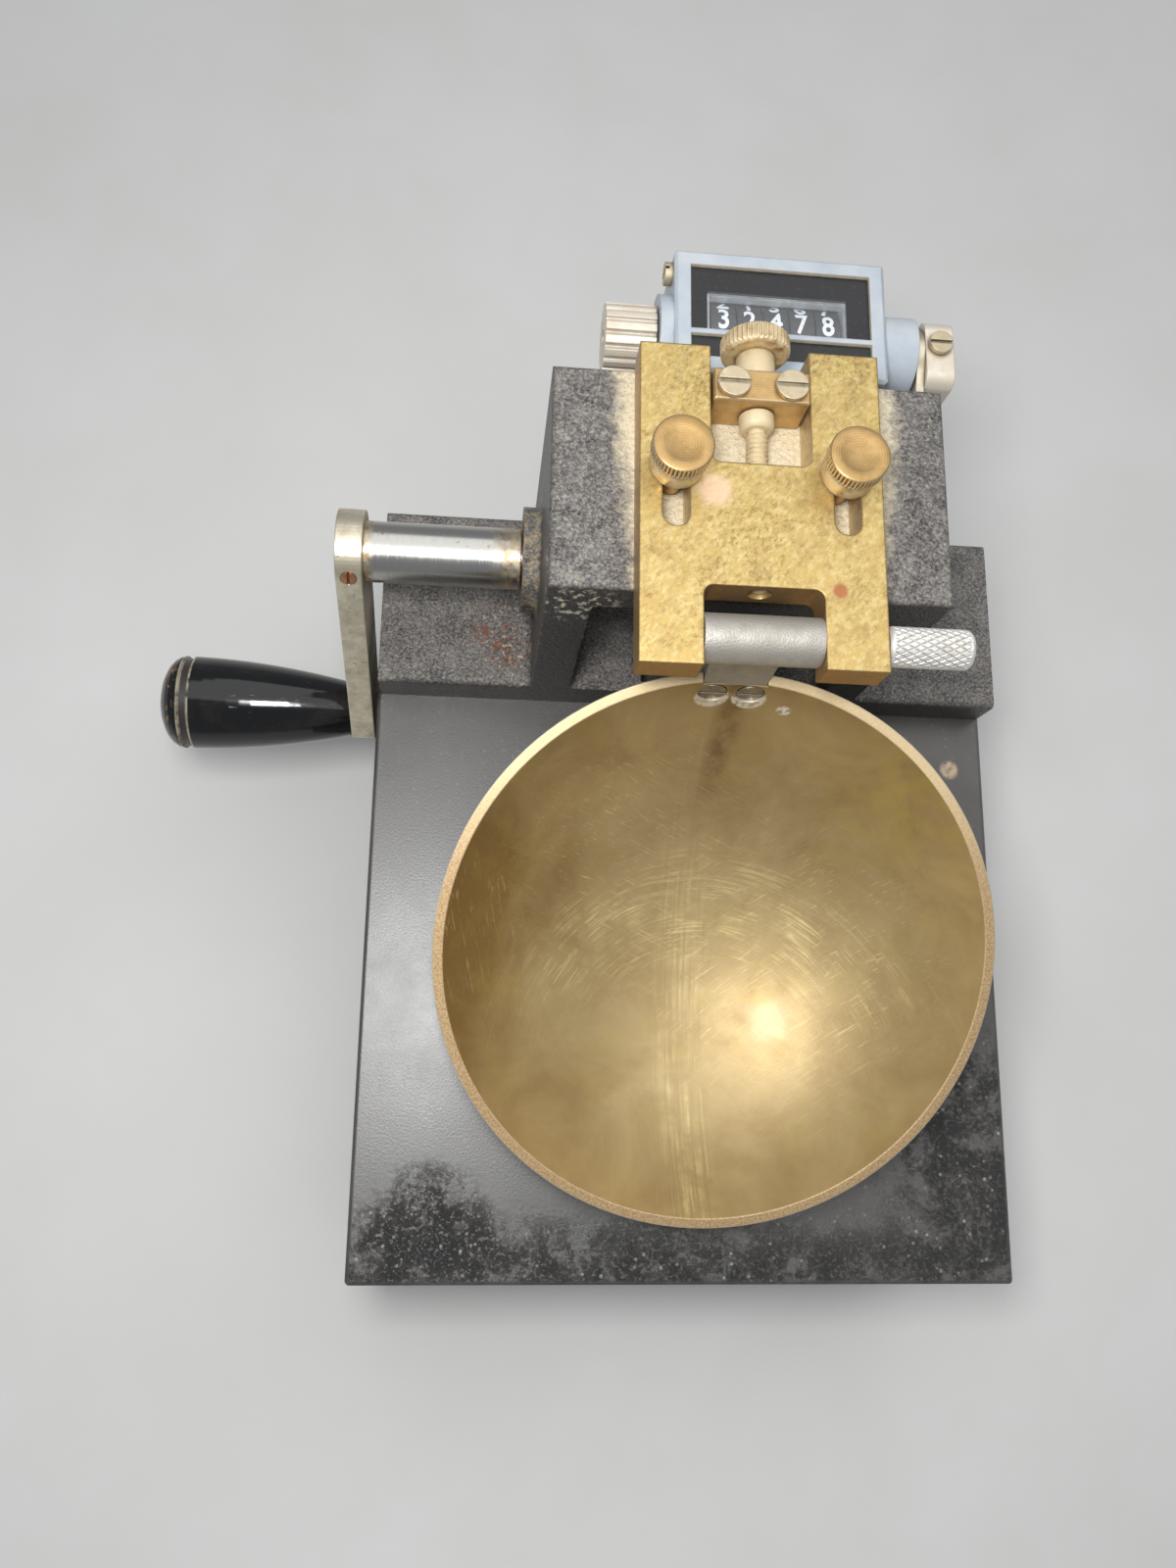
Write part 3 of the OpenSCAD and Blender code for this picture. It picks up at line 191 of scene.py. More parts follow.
def layOver(colour, *layers):
    # colours laid on a first one, each with what overlap takes: masks and a plain number
    for over, *masks in layers:
        amount = overlap(*masks)
        links, values = {"Factor": amount}, {}
        for name, side in (("A", colour), ("B", over)):
            if isinstance(side, str):
                values[name] = hexColour(side)
            else:
                links[name] = side
        colour = addNode(amount, "Mix", links, values, data_type="RGBA")
    return colour


def wornEdges(shader, width, low=0.03, high=0.2):
    # the rounded-edge normal, and a mask that is 1 along the edges
    rounded = addNode(shader, "Bevel", values={"Radius": width * mm}, samples=6)
    flat = addNode(shader, "NewGeometry").outputs["Normal"]
    lean = addNode(shader, "VectorMath", {0: rounded, 1: flat}, operation="DOT_PRODUCT")
    return rounded, addNode(shader, "MapRange", {"Value": lean.outputs["Value"]},
                            {"From Min": 1 - low, "From Max": 1 - high})


def crevices(shader, reach, low=0.35, high=0.9):
    # 1 deep in corners and slots, 0 on open faces
    openness = addNode(shader, "AmbientOcclusion", values={"Distance": reach * mm}, samples=8)
    return addNode(shader, "MapRange", {"Value": openness.outputs["AO"]},
                   {"From Min": high, "From Max": low})


def finishWith(shader, colour, rough, normal=None, *bumps, metal=None):
    # the shader gets its colour, its roughness and metal as (mask, low, high), and bumps
    # as (height, depth in millimetres), laid one after another on the rounded edges
    sources = {"Base Color": colour}
    for name, ranged in (("Roughness", rough), ("Metallic", metal)):
        if ranged:
            mask, low, high = ranged
            sources[name] = addNode(mask, "MapRange", {"Value": mask}, {"To Min": low, "To Max": high})
    for height, depth in bumps:
        links = {"Height": height, "Normal": normal} if normal else {"Height": height}
        normal = addNode(height, "Bump", links, {"Distance": depth * mm, "Strength": 1})
    sources["Normal"] = normal
    for name, source in sources.items():
        if source:
            shader.id_data.links.new(outOf(source), shader.inputs[name])


# Base: black hard rubber block, ground flat and worn. It has a broad pale sheen, and
# near its front edges dark stains with a rough, pitted grain
hardRubber = {"dark": "35332f", "haze": "4d4a46", "stain": "1c1917", "glint": "a39e97", "grain": 0.45,
              "pit": 0.9, "speckGap": 1.9}


def makeHardRubber(spec):
    finish, shader, coords = startFinish("wornHardRubber", 0, 0.4, **{"Specular IOR Level": 0.9})
    at = addNode(shader, "SeparateXYZ", {"Vector": coords})
    edge, worn = wornEdges(shader, 0.5)
    haze = grains(coords, 30, 0.34, 0.66, 6, 0.7)
    grit = grains(coords, spec["grain"], 0.3, 0.75, 5)
    colour = layOver(spec["dark"], (spec["haze"], haze))
    # stains lie along the front, darkest in the left corner, roughest in the right one
    front = within(at.outputs["Y"], -90, -66, 7)
    left = spot(coords, (-48, -66, 0), 9, 6)
    right = spot(coords, (58, -50, 0), 18, 12)
    zone = gather((front, 0.75), (right, 0.9), left)
    cloud = overlap(grains(coords, 8, 0.43, 0.55, 9, 0.78, 0.3), zone)
    coarse = grains(coords, spec["pit"], 0.44, 0.6, 5, 0.75)
    pits = overlap(coarse, gather((zone, 0.35), cloud))
    cells = addNode(shader, "TexVoronoi", {"Vector": coords}, {"Scale": 1 / (spec["speckGap"] * mm)})
    bright = addNode(shader, "MapRange", {"Value": cells}, {"From Min": 0.2, "From Max": 0.13})
    bright = overlap(bright, grains(coords, 6, 0.42, 0.56, 4), gather(zone, (haze, 0.25)))
    colour = layOver(colour,
                     (spec["stain"], cloud, 0.8),
                     (spec["stain"], pits, 0.5),
                     (spec["glint"], bright, 0.85))
    # fine scratches from spatulas, mostly along Y
    lines = grains(coords, 0.35, 0.62, 0.72, 2, turn=(0, 0, 8), stretch=(1, 0.04, 1))
    faint = overlap(lines, grains(coords, 22, 0.46, 0.6))
    across = grains(coords, 0.4, 0.62, 0.7, 2, turn=(0, 0, 52), stretch=(1, 0.05, 1))
    faint = gather(faint, (across, zone, 0.7))
    colour = layOver(colour, ("6a6764", faint, 0.55), ("7d7a76", worn, 0.6))
    mark = overlap(spot(coords, (55.4, 24.9, 0), 1.8, 0.5), grains(coords, 1.2, 0.36, 0.52))
    colour = layOver(colour, ("b59b7c", mark))
    rough = (gather((haze, 0.3), (cloud, 0.6), (faint, 0.3)), 0.33, 0.6)
    finishWith(shader, colour, rough, edge, (grit, 0.014), (pits, -0.16))
    return finish


# Feet: soft black rubber, matt with a fine moulded grain
footRubber = {"dark": "1c1c1d", "dust": "5b5752", "grain": 0.4}


def makeFootRubber(spec):
    finish, shader, coords = startFinish("softFootRubber", 0, 0.8)
    grit = grains(coords, spec["grain"], 0.3, 0.7)
    dusty = grains(coords, 5, 0.5, 0.75)
    colour = layOver(spec["dark"], (spec["dust"], dusty, 0.5))
    finishWith(shader, colour, (dusty, 0.7, 0.9), wornEdges(shader, 0.4)[0], (grit, 0.03))
    return finish


# Casting: iron under black wrinkle paint, greyed by dust that sits in the wrinkles and by a painted sheen on
# what faces up.
# Cream plaster dust lies beside the brass plate and the paint is chipped at edges
wrinklePaint = {"paint": "353230", "dust": "a39d96", "plaster": "e8dabb", "chip": "d6cbb4",
                "rust": "7d4a2e", "cream": "c5b79c", "dirt": "b09c78", "wrinkle": 0.85, "middle": -0.3,
                "stripEnd": (21.3, 18.2), "frayed": 3.2, "frontGap": 3.6, "rightReach": 2.4}


def makeWrinklePaint(spec):
    finish, shader, coords = startFinish("blackWrinklePaint", 0, 0.4, **{"Specular IOR Level": 0.8})
    at = addNode(shader, "SeparateXYZ", {"Vector": coords})
    edge, worn = wornEdges(shader, 0.7)
    wrinkle = grains(coords, spec["wrinkle"], 0.32, 0.68, 4, 0.6, 0.9)
    pools = grains(coords, 5, 0.36, 0.64, 5)
    # grey dust lies on what faces up, caught between the wrinkles; on faces that look up this pale grey is
    # also a painted sheen of glints on the wrinkles, and it leaves the walls darker as painted shade
    speck = grains(coords, 0.5, 0.42, 0.66, 4, 0.65, 0.6)
    upFacingDustAndSheen = addNode(shader, "MapRange", {"Value": facing(shader, 0, 1)}, {"To Min": 0.05, "To Max": 0.95})
    dusty = overlap(gather((speck, 0.75), (pools, 0.3)), upFacingDustAndSheen)
    colour = layOver(spec["paint"], (spec["dust"], dusty))
    # rust and cream stains on the flange, and dirt round the bearing boss
    flange = within(at.outputs["Z"], 6.5, 12, 0.5)
    patch = gather(spot(coords, (-40, 48, 9), 4, 3), spot(coords, (-37, 43, 9), 3, 3))
    stains = overlap(grains(coords, 1.6, 0.47, 0.58, 4), patch, flange)
    colour = layOver(colour, (spec["rust"], stains, 0.8))
    flecks = overlap(grains(coords, 1.1, 0.6, 0.66, 3), spot(coords, (-36, 46, 9), 9, 5), flange)
    colour = layOver(colour, (spec["cream"], flecks, 0.8))
    nearBoss = spot(coords, (-33.5, 55, 28), 10.5, 3)
    cream = overlap(nearBoss, grains(coords, 1.6, 0.45, 0.6))
    colour = layOver(colour, (spec["dirt"], cream, 0.75))
    # plaster dust along the plate and in its slots, thick against the brass at the rear
    shifted = addNode(shader, "Math", {0: at.outputs["X"]}, {1: spec["middle"] * mm},
                      operation="SUBTRACT")
    ragged = addNode(shader, "Math", {0: shifted}, operation="ABSOLUTE")
    frayed = addNode(shader, "MapRange", {"Value": grains(coords, 3, 0.3, 0.7, 7, 0.8)},
                     {"To Max": -spec["frayed"] * mm})
    # the dust stays nearer the plate towards the front, and reaches further out on the right
    nearer = addNode(shader, "MapRange", {"Value": at.outputs["Y"]},
                     {"From Min": 62 * mm, "From Max": 36 * mm, "To Max": spec["frontGap"] * mm})
    further = addNode(shader, "MapRange", {"Value": at.outputs["X"]},
                      {"From Min": 10 * mm, "From Max": 12 * mm, "To Max": -spec["rightReach"] * mm})
    for change in (frayed, further, nearer):
        ragged = addNode(shader, "Math", {0: ragged, 1: change}, operation="ADD")
    outer, inner = spec["stripEnd"]
    strip = addNode(shader, "MapRange", {"Value": ragged},
                    {"From Min": outer * mm, "From Max": inner * mm})
    slots = within(at.outputs["X"], -17, 17, 0.5)
    top = overlap(facing(shader, 0.5, 0.9), within(at.outputs["Z"], 59.2, 62, 0.3))
    plaster = overlap(gather(strip, slots), top, grains(coords, 0.7, 0.12, 0.36, 5))
    colour = layOver(colour, (spec["plaster"], plaster, 0.95))
    # paint chipped off the lower front edge of the beam and the bridge's corners
    lowEdge = spot(coords, (-27, 36.5, 53), 6, 3)
    chipped = overlap(gather(lowEdge, (worn, 0.6)), grains(coords, 1.8, 0.53, 0.58, 5))
    colour = layOver(colour, (spec["chip"], chipped))
    rough = (gather(plaster, (dusty, 0.5)), 0.36, 0.8)
    height = gather((wrinkle, 0.7), (pools, 0.3))
    finishWith(shader, colour, rough, edge, (height, 0.32))
    return finish


# Plate: half-hard brass bar, milled and long handled. Bright gold, mottled with brown
# and olive patina in small patches, darker along its edges
plateBrass = {"gold": "c7ab6c", "pale": "e0cd97", "brown": "93744a", "olive": "8a7b48", "edge": "7c5e30",
              "copper": "ad6c48", "rubbed": "e8c8a8", "mottle": 2.2, "fleck": 0.6}


def makePlateBrass(spec):
    finish, shader, coords = startFinish("patinatedPlateBrass", 0.8, 0.5)
    edge, worn = wornEdges(shader, 0.45)
    slant = {"turn": (0, 0, -40), "stretch": (1, 0.6, 1)}
    mottle = grains(coords, spec["mottle"], 0.48, 0.66, 8, 0.8, **slant)
    fleck = grains(coords, spec["fleck"], 0.5, 0.62, 5, 0.72, **slant)
    wide = grains(coords, 12, 0.42, 0.62, 4)
    colour = layOver(spec["gold"],
                     (spec["pale"], grains(coords, 0.8, 0.46, 0.62, 5, 0.72, **slant), 0.6),
                     (spec["brown"], mottle, 0.5))
    spots = overlap(grains(coords, 1.5, 0.62, 0.7, 3), wide)
    colour = layOver(colour,
                     ("8f6a3c", spots, 0.6),
                     (spec["olive"], gather(wide, (mottle, 0.4)), fleck, 0.7))
    # the upright faces and the edges stay darker and browner than the top
    sides = facing(shader, 0.9, 0.4)
    colour = layOver(colour,
                     ("b08a62", sides, 0.7),
                     (spec["edge"], worn, 0.6),
                     (spec["copper"], spot(coords, (11.7, 35, 66.7), 1.15, 0.35), 0.9),
                     (spec["rubbed"], spot(coords, (-7.4, 50.4, 66.7), 2.5, 0.9), 0.8))
    # plaster dust caught round the screws, and thick on the walls of the rear and lock slots
    at = addNode(shader, "SeparateXYZ", {"Vector": coords})
    across = addNode(shader, "Math", {0: at.outputs["X"]}, operation="ABSOLUTE")
    rearSlot = overlap(within(across, -1, 8.2, 0.1), within(at.outputs["Y"], 54.9, 90, 0.2))
    lockSlots = overlap(within(across, 11.1, 15.7, 0.1), within(at.outputs["Y"], 44, 61, 0.2))
    walls = overlap(gather(rearSlot, lockSlots), sides, grains(coords, 1.4, 0.3, 0.48, 5))
    dust = overlap(crevices(shader, 2.5, 0.3, 0.75), grains(coords, 1.2, 0.42, 0.6))
    dust = gather((dust, 0.5), (walls, 0.85))
    colour = layOver(colour, ("dccba6", dust))
    lines = grains(coords, 0.3, 0.6, 0.72, 2, turn=(0, 0, 14), stretch=(1, 0.05, 1))
    rough = (gather((mottle, 0.5), (dust, 0.6), (fleck, 0.3)), 0.38, 0.62)
    height = gather((fleck, 0.5), (lines, 0.3))
    finishWith(shader, colour, rough, edge, (height, -0.02))
    return finish


# Cup: spun brass, brown-gold inside from use and darker on the left wall with painted shade, with hazy arcs
# and hair scratches left by the grooving tool. The turned rim is grainy, and its outer band is scraped grey
cupBrass = {"gold": "b39d70", "brown": "886d3f", "bright": "edd99f", "stain": "66502f", "green": "b09c50",
            "plaster": "e6dfcf", "chip": "e8e6e0", "rim": "ab8c62", "rimPale": "d6ba91",
            "rimRear": "ecd8ac", "rimGrain": 0.35, "band": "c3beb2", "edge": "dcc59a",
            "ring": 0.3846, "arcCentre": (2, -30, 0), "arcWidth": 1.6, "screws": (3.2, 44, -31.2),
            # turn, width, middle of the scratched patch and its radius
            "scratches": ((62, 0.3, (-14, 16, -50), 24), (-52, 0.28, (18, -4, -50), 26),
                          (12, 0.3, (-42, 2, -33), 11))}


def makeCupBrass(spec):
    finish, shader, coords = startFinish("scratchedCupBrass", 0.5, 0.5,
                                         **{"Coat Weight": 0.1, "Coat Roughness": 0.12})
    own, at = ownFrame(coords, places["cup"], (places["cupTilt"], 0, 0))
    radius = fromAxis(at)
    # the inner wall lies 54 mm from the centre, the outer one 56
    inside = spot(own, (0, 0, 0), 54.4, 0.2)
    edge, worn = wornEdges(shader, 0.35, 0.02, 0.12)
    cloud = grains(own, 18, 0.34, 0.66, 5, 0.65, 0.4)
    # the brown cloud is a random tone of the brass; the broad brown patch on the left wall of the bowl is
    # painted shade
    shade = gather((cloud, 0.6), (spot(own, (-46, 4, -28), 20, 18), 0.9))
    colour = layOver(spec["gold"], (spec["brown"], shade))
    # arcs swept across the bowl, counted as distance and angle from their centre
    sweep = ownFrame(own, spec["arcCentre"])[1]
    reach = fromAxis(sweep)
    angle = addNode(shader, "Math", {0: sweep.outputs["Y"], 1: sweep.outputs["X"]}, operation="ARCTAN2")
    along = addNode(shader, "Math", {0: angle}, {1: spec["arcWidth"] * mm}, operation="MULTIPLY")
    wound = addNode(shader, "CombineXYZ", {"X": reach, "Y": along})
    arcs = overlap(grains(wound, 0.5, 0.5, 0.64, 5, 0.7, 0.7), within(reach, 25, 42, 6))
    arcs = overlap(arcs, within(at.outputs["Y"], -14, 60, 8), grains(own, 6, 0.4, 0.58, 4))
    hazy = overlap(within(reach, 27, 40, 9), within(at.outputs["Y"], -12, 60, 10),
                   grains(own, 9, 0.36, 0.6, 5))
    # streaks down the middle, and fine scratches slanting both ways
    downLines = grains(own, 0.55, 0.42, 0.66, 4, 0.6, stretch=(1, 0.03, 0.03))
    downLines = overlap(downLines, grains(own, 4, 0.32, 0.6, 5))
    fading = addNode(shader, "MapRange", {"Value": at.outputs["Y"]},
                     {"From Min": 26 * mm, "From Max": -12 * mm, "To Min": 0.1})
    marks = gather(arcs, (downLines, within(at.outputs["X"], -6, 2, 3), fading, 0.7))
    for turn, size, centre, area in spec["scratches"]:
        lines = grains(own, size, 0.58, 0.7, 3, 0.6, 0.2, turn=(0, 0, turn), stretch=(1, 0.03, 0.2))
        patch = overlap(spot(own, centre, area, area * 0.6), grains(own, 5, 0.38, 0.6))
        marks = gather(marks, (lines, patch, 0.8))
    marks = overlap(marks, inside)
    colour = layOver(colour, (spec["bright"], hazy, inside, 0.22), (spec["bright"], marks, 0.65))
    turnedRings = addNode(shader, "TexNoise",
                          {"Vector": addNode(shader, "CombineXYZ", {"X": radius})},
                          {"Scale": 1 / (spec["ring"] * mm), "Detail": 3})
    turned = addNode(shader, "MapRange", {"Value": turnedRings}, {"From Min": 0.35, "From Max": 0.65})
    # the brown run below the two screws, and greener brass near the rim at the right
    run = overlap(within(at.outputs["X"], -1.2, 3, 1.6), within(at.outputs["Y"], 27, 60, 7),
                  inside, grains(own, 4, 0.3, 0.56))
    green = gather((spot(own, (33, 27, -33), 13, 9), grains(own, 4, 0.42, 0.6, 5)),
                   (grains(own, 11, 0.54, 0.68, 4), 0.4))
    colour = layOver(colour, (spec["stain"], run, 0.65), (spec["green"], green, inside, 0.5))
    # plaster left round the two screws
    screwX, screwY, screwZ = spec["screws"]
    rings = gather(spot(own, (-screwX, screwY, screwZ), 2.95, 0.25),
                   spot(own, (screwX, screwY, screwZ), 2.95, 0.25))
    colour = layOver(colour, (spec["plaster"], rings, inside, grains(own, 1.2, 0.36, 0.5, 4), 0.9))
    # the rim's land, and the band scraped down round its outside
    rimTop = within(at.outputs["Z"], -27.12, -20, 0.06)
    sand = grains(own, spec["rimGrain"], 0.4, 0.62, 3)
    rim = layOver(spec["rim"], (spec["rimPale"], sand, 0.75),
                  (spec["rimRear"], within(at.outputs["Y"], 22, 70, 14), 0.6))
    band = overlap(within(radius, 48.35, 52, 0.05), within(at.outputs["Z"], -28.3, -20, 0.1))
    chip = overlap(spot(coords, (9.7, 23.9, 40), 1.2, 0.3), grains(coords, 1.1, 0.44, 0.5))
    colour = layOver(colour, (rim, rimTop), (spec["band"], band, 0.9), (spec["edge"], worn, 0.5),
                     (spec["chip"], chip))
    rough = (gather((cloud, 0.3), (marks, 0.3), (rimTop, 0.5)), 0.42, 0.6)
    height = gather((turned, 0.25), (gather(marks, sand), 0.5))
    finishWith(shader, colour, rough, edge, (height, 0.008))
    return finish


# Knobs and block: brown tarnished brass, with turned rings on the flat ends and knurls
# rubbed bright on their crests
knobBrass = {"brown": "bf9c68", "dark": "91733f", "bright": "f7ead0", "pale": "e0ca9c", "ring": 0.42}


def makeKnobBrass(spec, name, centre, turn=(0, 0, 0), ringDepth=0.008, dusty=0):
    finish, shader, coords = startFinish(name, 0.85, 0.45)
    edge, worn = wornEdges(shader, 0.35, 0.02, 0.14)
    own, at = ownFrame(coords, centre, turn)
    # a wave texture of scale 1 repeats every 2 pi / 20 of a metre
    rings = addNode(shader, "TexWave", {"Vector": own}, wave_type="RINGS", rings_direction="Z",
                    values={"Scale": 0.314 / (spec["ring"] * mm), "Distortion": 0.6, "Detail": 1,
                            "Detail Scale": 40})
    mottle = grains(coords, 2.4, 0.4, 0.66, 5, 0.7)
    low = crevices(shader, 0.9, 0.45, 0.92)
    colour = layOver(spec["brown"], (spec["dark"], mottle, 0.45), ("dfbf86", rings, 0.25))
    # plaster dust, on the knob and round the necks of the thumb screws
    powder = grains(coords, 1.6, 0.26, 0.54, 5)
    neck = within(at.outputs["Z"], -1, 3.6, 0.5)
    powder = overlap(powder, addNode(shader, "MapRange", {"Value": neck}, {"To Min": dusty}))
    colour = layOver(colour, (spec["pale"], powder, 0.9), ("5d4829", low, 0.6))
    # dirt at the bottom of the ridges
    groove = overlap(within(fromAxis(at), 4.2, 4.58, 0.1), within(at.outputs["Z"], 4.05, 6.4, 0.1))
    colour = layOver(colour, ("46341b", groove, 0.9), (spec["bright"], worn, 0.85))
    rough = (gather((mottle, 0.5), (low, 0.4)), 0.38, 0.6)
    finishWith(shader, colour, rough, edge, (rings, ringDepth), metal=(powder, 0.85, 0.2))
    return finish


# Adjusting screw: brass, its thread packed with cream plaster dust
dustyThread = {"brass": "a8854e", "dust": "e0d0ac"}


def makeDustyThread(spec):
    finish, shader, coords = startFinish("dustyThreadBrass", 0.35, 0.6)
    low = crevices(shader, 0.7, 0.4, 0.9)
    patchy = grains(coords, 1.3, 0.4, 0.52, 5, 0.7)
    edge, worn = wornEdges(shader, 0.2, 0.02, 0.14)
    bare = overlap(addNode(shader, "Math", {1: patchy}, {0: 1}, operation="SUBTRACT"), worn, 0.8)
    colour = layOver(spec["dust"], (spec["brass"], gather(bare, (low, 0.35))))
    finishWith(shader, colour, (patchy, 0.5, 0.8), edge, (grains(coords, 0.3, 0.3, 0.7), 0.02))
    return finish


# Sleeve: hard chrome on ground steel. Bright, with fine rings, and rusty brown and
# cream dirt at both ends
sleeveChrome = {"bright": "bcbab5", "rust": "8a6238", "cream": "cdb98f"}


def makeSleeveChrome(spec):
    finish, shader, coords = startFinish("stainedSleeveChrome", 1, 0.26)
    at = addNode(shader, "SeparateXYZ", {"Vector": coords})
    rings = grains(coords, 0.25, 0.35, 0.7, 3, stretch=(1, 0.02, 0.02))
    ends = gather(within(at.outputs["X"], -39.4, -30, 3), within(at.outputs["X"], -70, -62.3, 0.8))
    soiled = overlap(ends, grains(coords, 1.6, 0.36, 0.6, 5))
    specks = grains(coords, 1.3, 0.66, 0.72, 3)
    colour = layOver(spec["bright"],
                     (spec["cream"], soiled, 0.9),
                     (spec["rust"], ends, grains(coords, 2.1, 0.5, 0.62, 4), 0.6),
                     ("8c7f68", specks, 0.6),
                     ("a9a59b", rings, 0.15))
    rough = (gather(soiled, (specks, 0.5), (rings, 0.2)), 0.2, 0.6)
    finishWith(shader, colour, rough, wornEdges(shader, 0.3)[0], (rings, 0.0025))
    return finish


# Arm and lever: dull nickel plate on steel, cream with age, darker at its edges
dullNickel = {"cream": "dfd6c0", "dull": "ab9f88", "edge": "f0ebdd"}


def makeDullNickel(spec):
    finish, shader, coords = startFinish("dullNickelPlate", 0.85, 0.45)
    edge, worn = wornEdges(shader, 0.4)
    mottle = grains(coords, 3, 0.38, 0.66, 5, 0.7)
    own = ownFrame(coords, places["shaft"], (-places["arm"], 0, 0))[0]
    lines = grains(own, 0.3, 0.4, 0.7, 3, stretch=(1, 1, 0.05))
    specks = grains(coords, 0.9, 0.64, 0.7, 3)
    low = crevices(shader, 2, 0.3, 0.8)
    colour = layOver(spec["cream"],
                     (spec["dull"], mottle, 0.6),
                     ("6b5f49", specks, 0.55),
                     ("6f5c40", low, 0.6),
                     (spec["edge"], worn, 0.5))
    fleck = spot(coords, (-68.4, 38.1, -6.6), 0.9, 0.3)
    colour = layOver(colour, ("f0ece2", fleck))
    rough = (gather((mottle, 0.6), (low, 0.4)), 0.32, 0.62)
    finishWith(shader, colour, rough, edge, (lines, 0.008))
    return finish


# Screws, cam and small steel parts: machined steel, grey, oiled, dirt in the slots
smallSteel = {"dark": "8a8782", "light": "b9b5ad", "dirt": "5a4c3a"}


def makeSmallSteel(spec, name, light=None, dark=None, plaster=0):
    finish, shader, coords = startFinish(name, 1, 0.38)
    edge, worn = wornEdges(shader, 0.25, 0.02, 0.14)
    mottle = grains(coords, 1.6, 0.36, 0.66, 5, 0.7)
    lines = grains(coords, 0.22, 0.4, 0.7, 2, turn=(0, 0, 35), stretch=(1, 0.06, 1))
    low = crevices(shader, 0.8, 0.4, 0.9)
    colour = layOver(light or spec["light"], (dark or spec["dark"], mottle))
    dust = grains(coords, 1.4, 0.62 - plaster * 0.3, 0.72 - plaster * 0.3, 4)
    colour = layOver(colour, ("d9cbb0", dust, plaster), (spec["dirt"], low, 0.75), ("dedad1", worn, 0.6))
    rough = (gather((mottle, 0.5), (dust, plaster)), 0.3, 0.62)
    finishWith(shader, colour, rough, edge, (lines, 0.006))
    return finish


# Hanger: bead-blasted steel. Satin, even, very finely pitted
blastedSteel = {"grey": "bab5ac", "dark": "a09a90", "bead": 0.3}


def makeBlastedSteel(spec):
    finish, shader, coords = startFinish("blastedHangerSteel", 0.75, 0.6)
    edge, worn = wornEdges(shader, 0.3, 0.02, 0.14)
    beads = addNode(shader, "TexVoronoi", {"Vector": coords}, {"Scale": 1 / (spec["bead"] * mm)})
    mottle = grains(coords, 2.5, 0.36, 0.68, 4)
    low = crevices(shader, 1.2, 0.4, 0.85)
    colour = layOver(spec["grey"], (spec["dark"], mottle, 0.6), ("5e4f38", low, 0.6), ("d6d0c4", worn, 0.6))
    finishWith(shader, colour, (mottle, 0.52, 0.66), edge, (beads, 0.035))
    return finish


# Pin: bright plated steel, white on the knurl's crests, brown in its grooves
pinSteel = {"bright": "f3f1ec", "groove": "8f897d"}


def makePinSteel(spec):
    finish, shader, coords = startFinish("brightPinSteel", 0.6, 0.45)
    low = crevices(shader, 0.5, 0.5, 0.95)
    mottle = grains(coords, 1.5, 0.4, 0.66)
    colour = layOver(spec["bright"], ("bdb8ac", mottle, 0.5), (spec["groove"], low, 0.8))
    finishWith(shader, colour, (gather(low, (mottle, 0.4)), 0.42, 0.6), wornEdges(shader, 0.12)[0])
    return finish


# Grip: turned black phenolic, polished by the hand. Deep gloss, hairline scratches, and
# pale dirt in the groove round its end
gripPhenolic = {"black": "0e0e0f", "dirt": "a89e88", "wear": "3a3733"}


def makeGripPhenolic(spec):
    finish, shader, coords = startFinish("polishedBlackPhenolic", 0, 0.14)
    at = addNode(shader, "SeparateXYZ", {"Vector": coords})
    groove = within(at.outputs["X"], -102.75, -100.55, 0.12)
    lips = gather(within(at.outputs["X"], -102.9, -102.35, 0.1),
                  within(at.outputs["X"], -100.95, -100.4, 0.1))
    broken = grains(coords, 3, 0.34, 0.52, 4)
    colour = layOver(spec["black"],
                     ("2a2724", grains(coords, 7, 0.5, 0.7), 0.5),
                     (spec["wear"], groove, 0.7),
                     (spec["dirt"], lips, broken))
    end = within(at.outputs["X"], -120, -103.6, 1)
    dirty = overlap(end, grains(coords, 2, 0.56, 0.64, 4))
    colour = layOver(colour, ("a1764f", dirty, 0.7))
    hairs = grains(coords, 0.3, 0.66, 0.74, 2, turn=(20, 0, 0), stretch=(0.05, 1, 1))
    colour = layOver(colour, ("55524e", hairs, 0.25))
    rough = (gather((hairs, 0.4), (groove, 0.6), dirty), 0.1, 0.55)
    finishWith(shader, colour, rough, wornEdges(shader, 0.3)[0], (hairs, -0.006))
    return finish


# Copper set screw, tarnished brown
copperScrew = {"copper": "cf9672", "dark": "8a5a3c"}


def makeCopperScrew(spec):
    finish, shader, coords = startFinish("tarnishedCopperScrew", 1, 0.4)
    mottle = grains(coords, 0.9, 0.36, 0.66)
    low = crevices(shader, 0.6, 0.4, 0.9)
    colour = layOver(spec["copper"], (spec["dark"], gather((mottle, 0.5), (low, 0.6))))
    finishWith(shader, colour, (mottle, 0.32, 0.55), wornEdges(shader, 0.2)[0])
    return finish


# Bushings: oiled bearing bronze
bushingBronze = {"bronze": "9a7038", "dark": "4d3618"}


def makeBushingBronze(spec):
    finish, shader, coords = startFinish("oiledBushingBronze", 1, 0.35)
    pores = grains(coords, 0.4, 0.5, 0.7)
    oil = grains(coords, 2.5, 0.4, 0.62)
    colour = layOver(spec["bronze"], (spec["dark"], gather((oil, 0.5), (pores, 0.3))))
    finishWith(shader, colour, (oil, 0.28, 0.5), wornEdges(shader, 0.2)[0], (pores, -0.02))
    return finish


# Counter housing: stoved pale blue-grey enamel. Smooth, cream where the frame slopes in
# to the fields, grime in the corners
counterEnamel = {"blue": "b0bac4", "cream": "ddd2bd", "grime": "6d675c"}


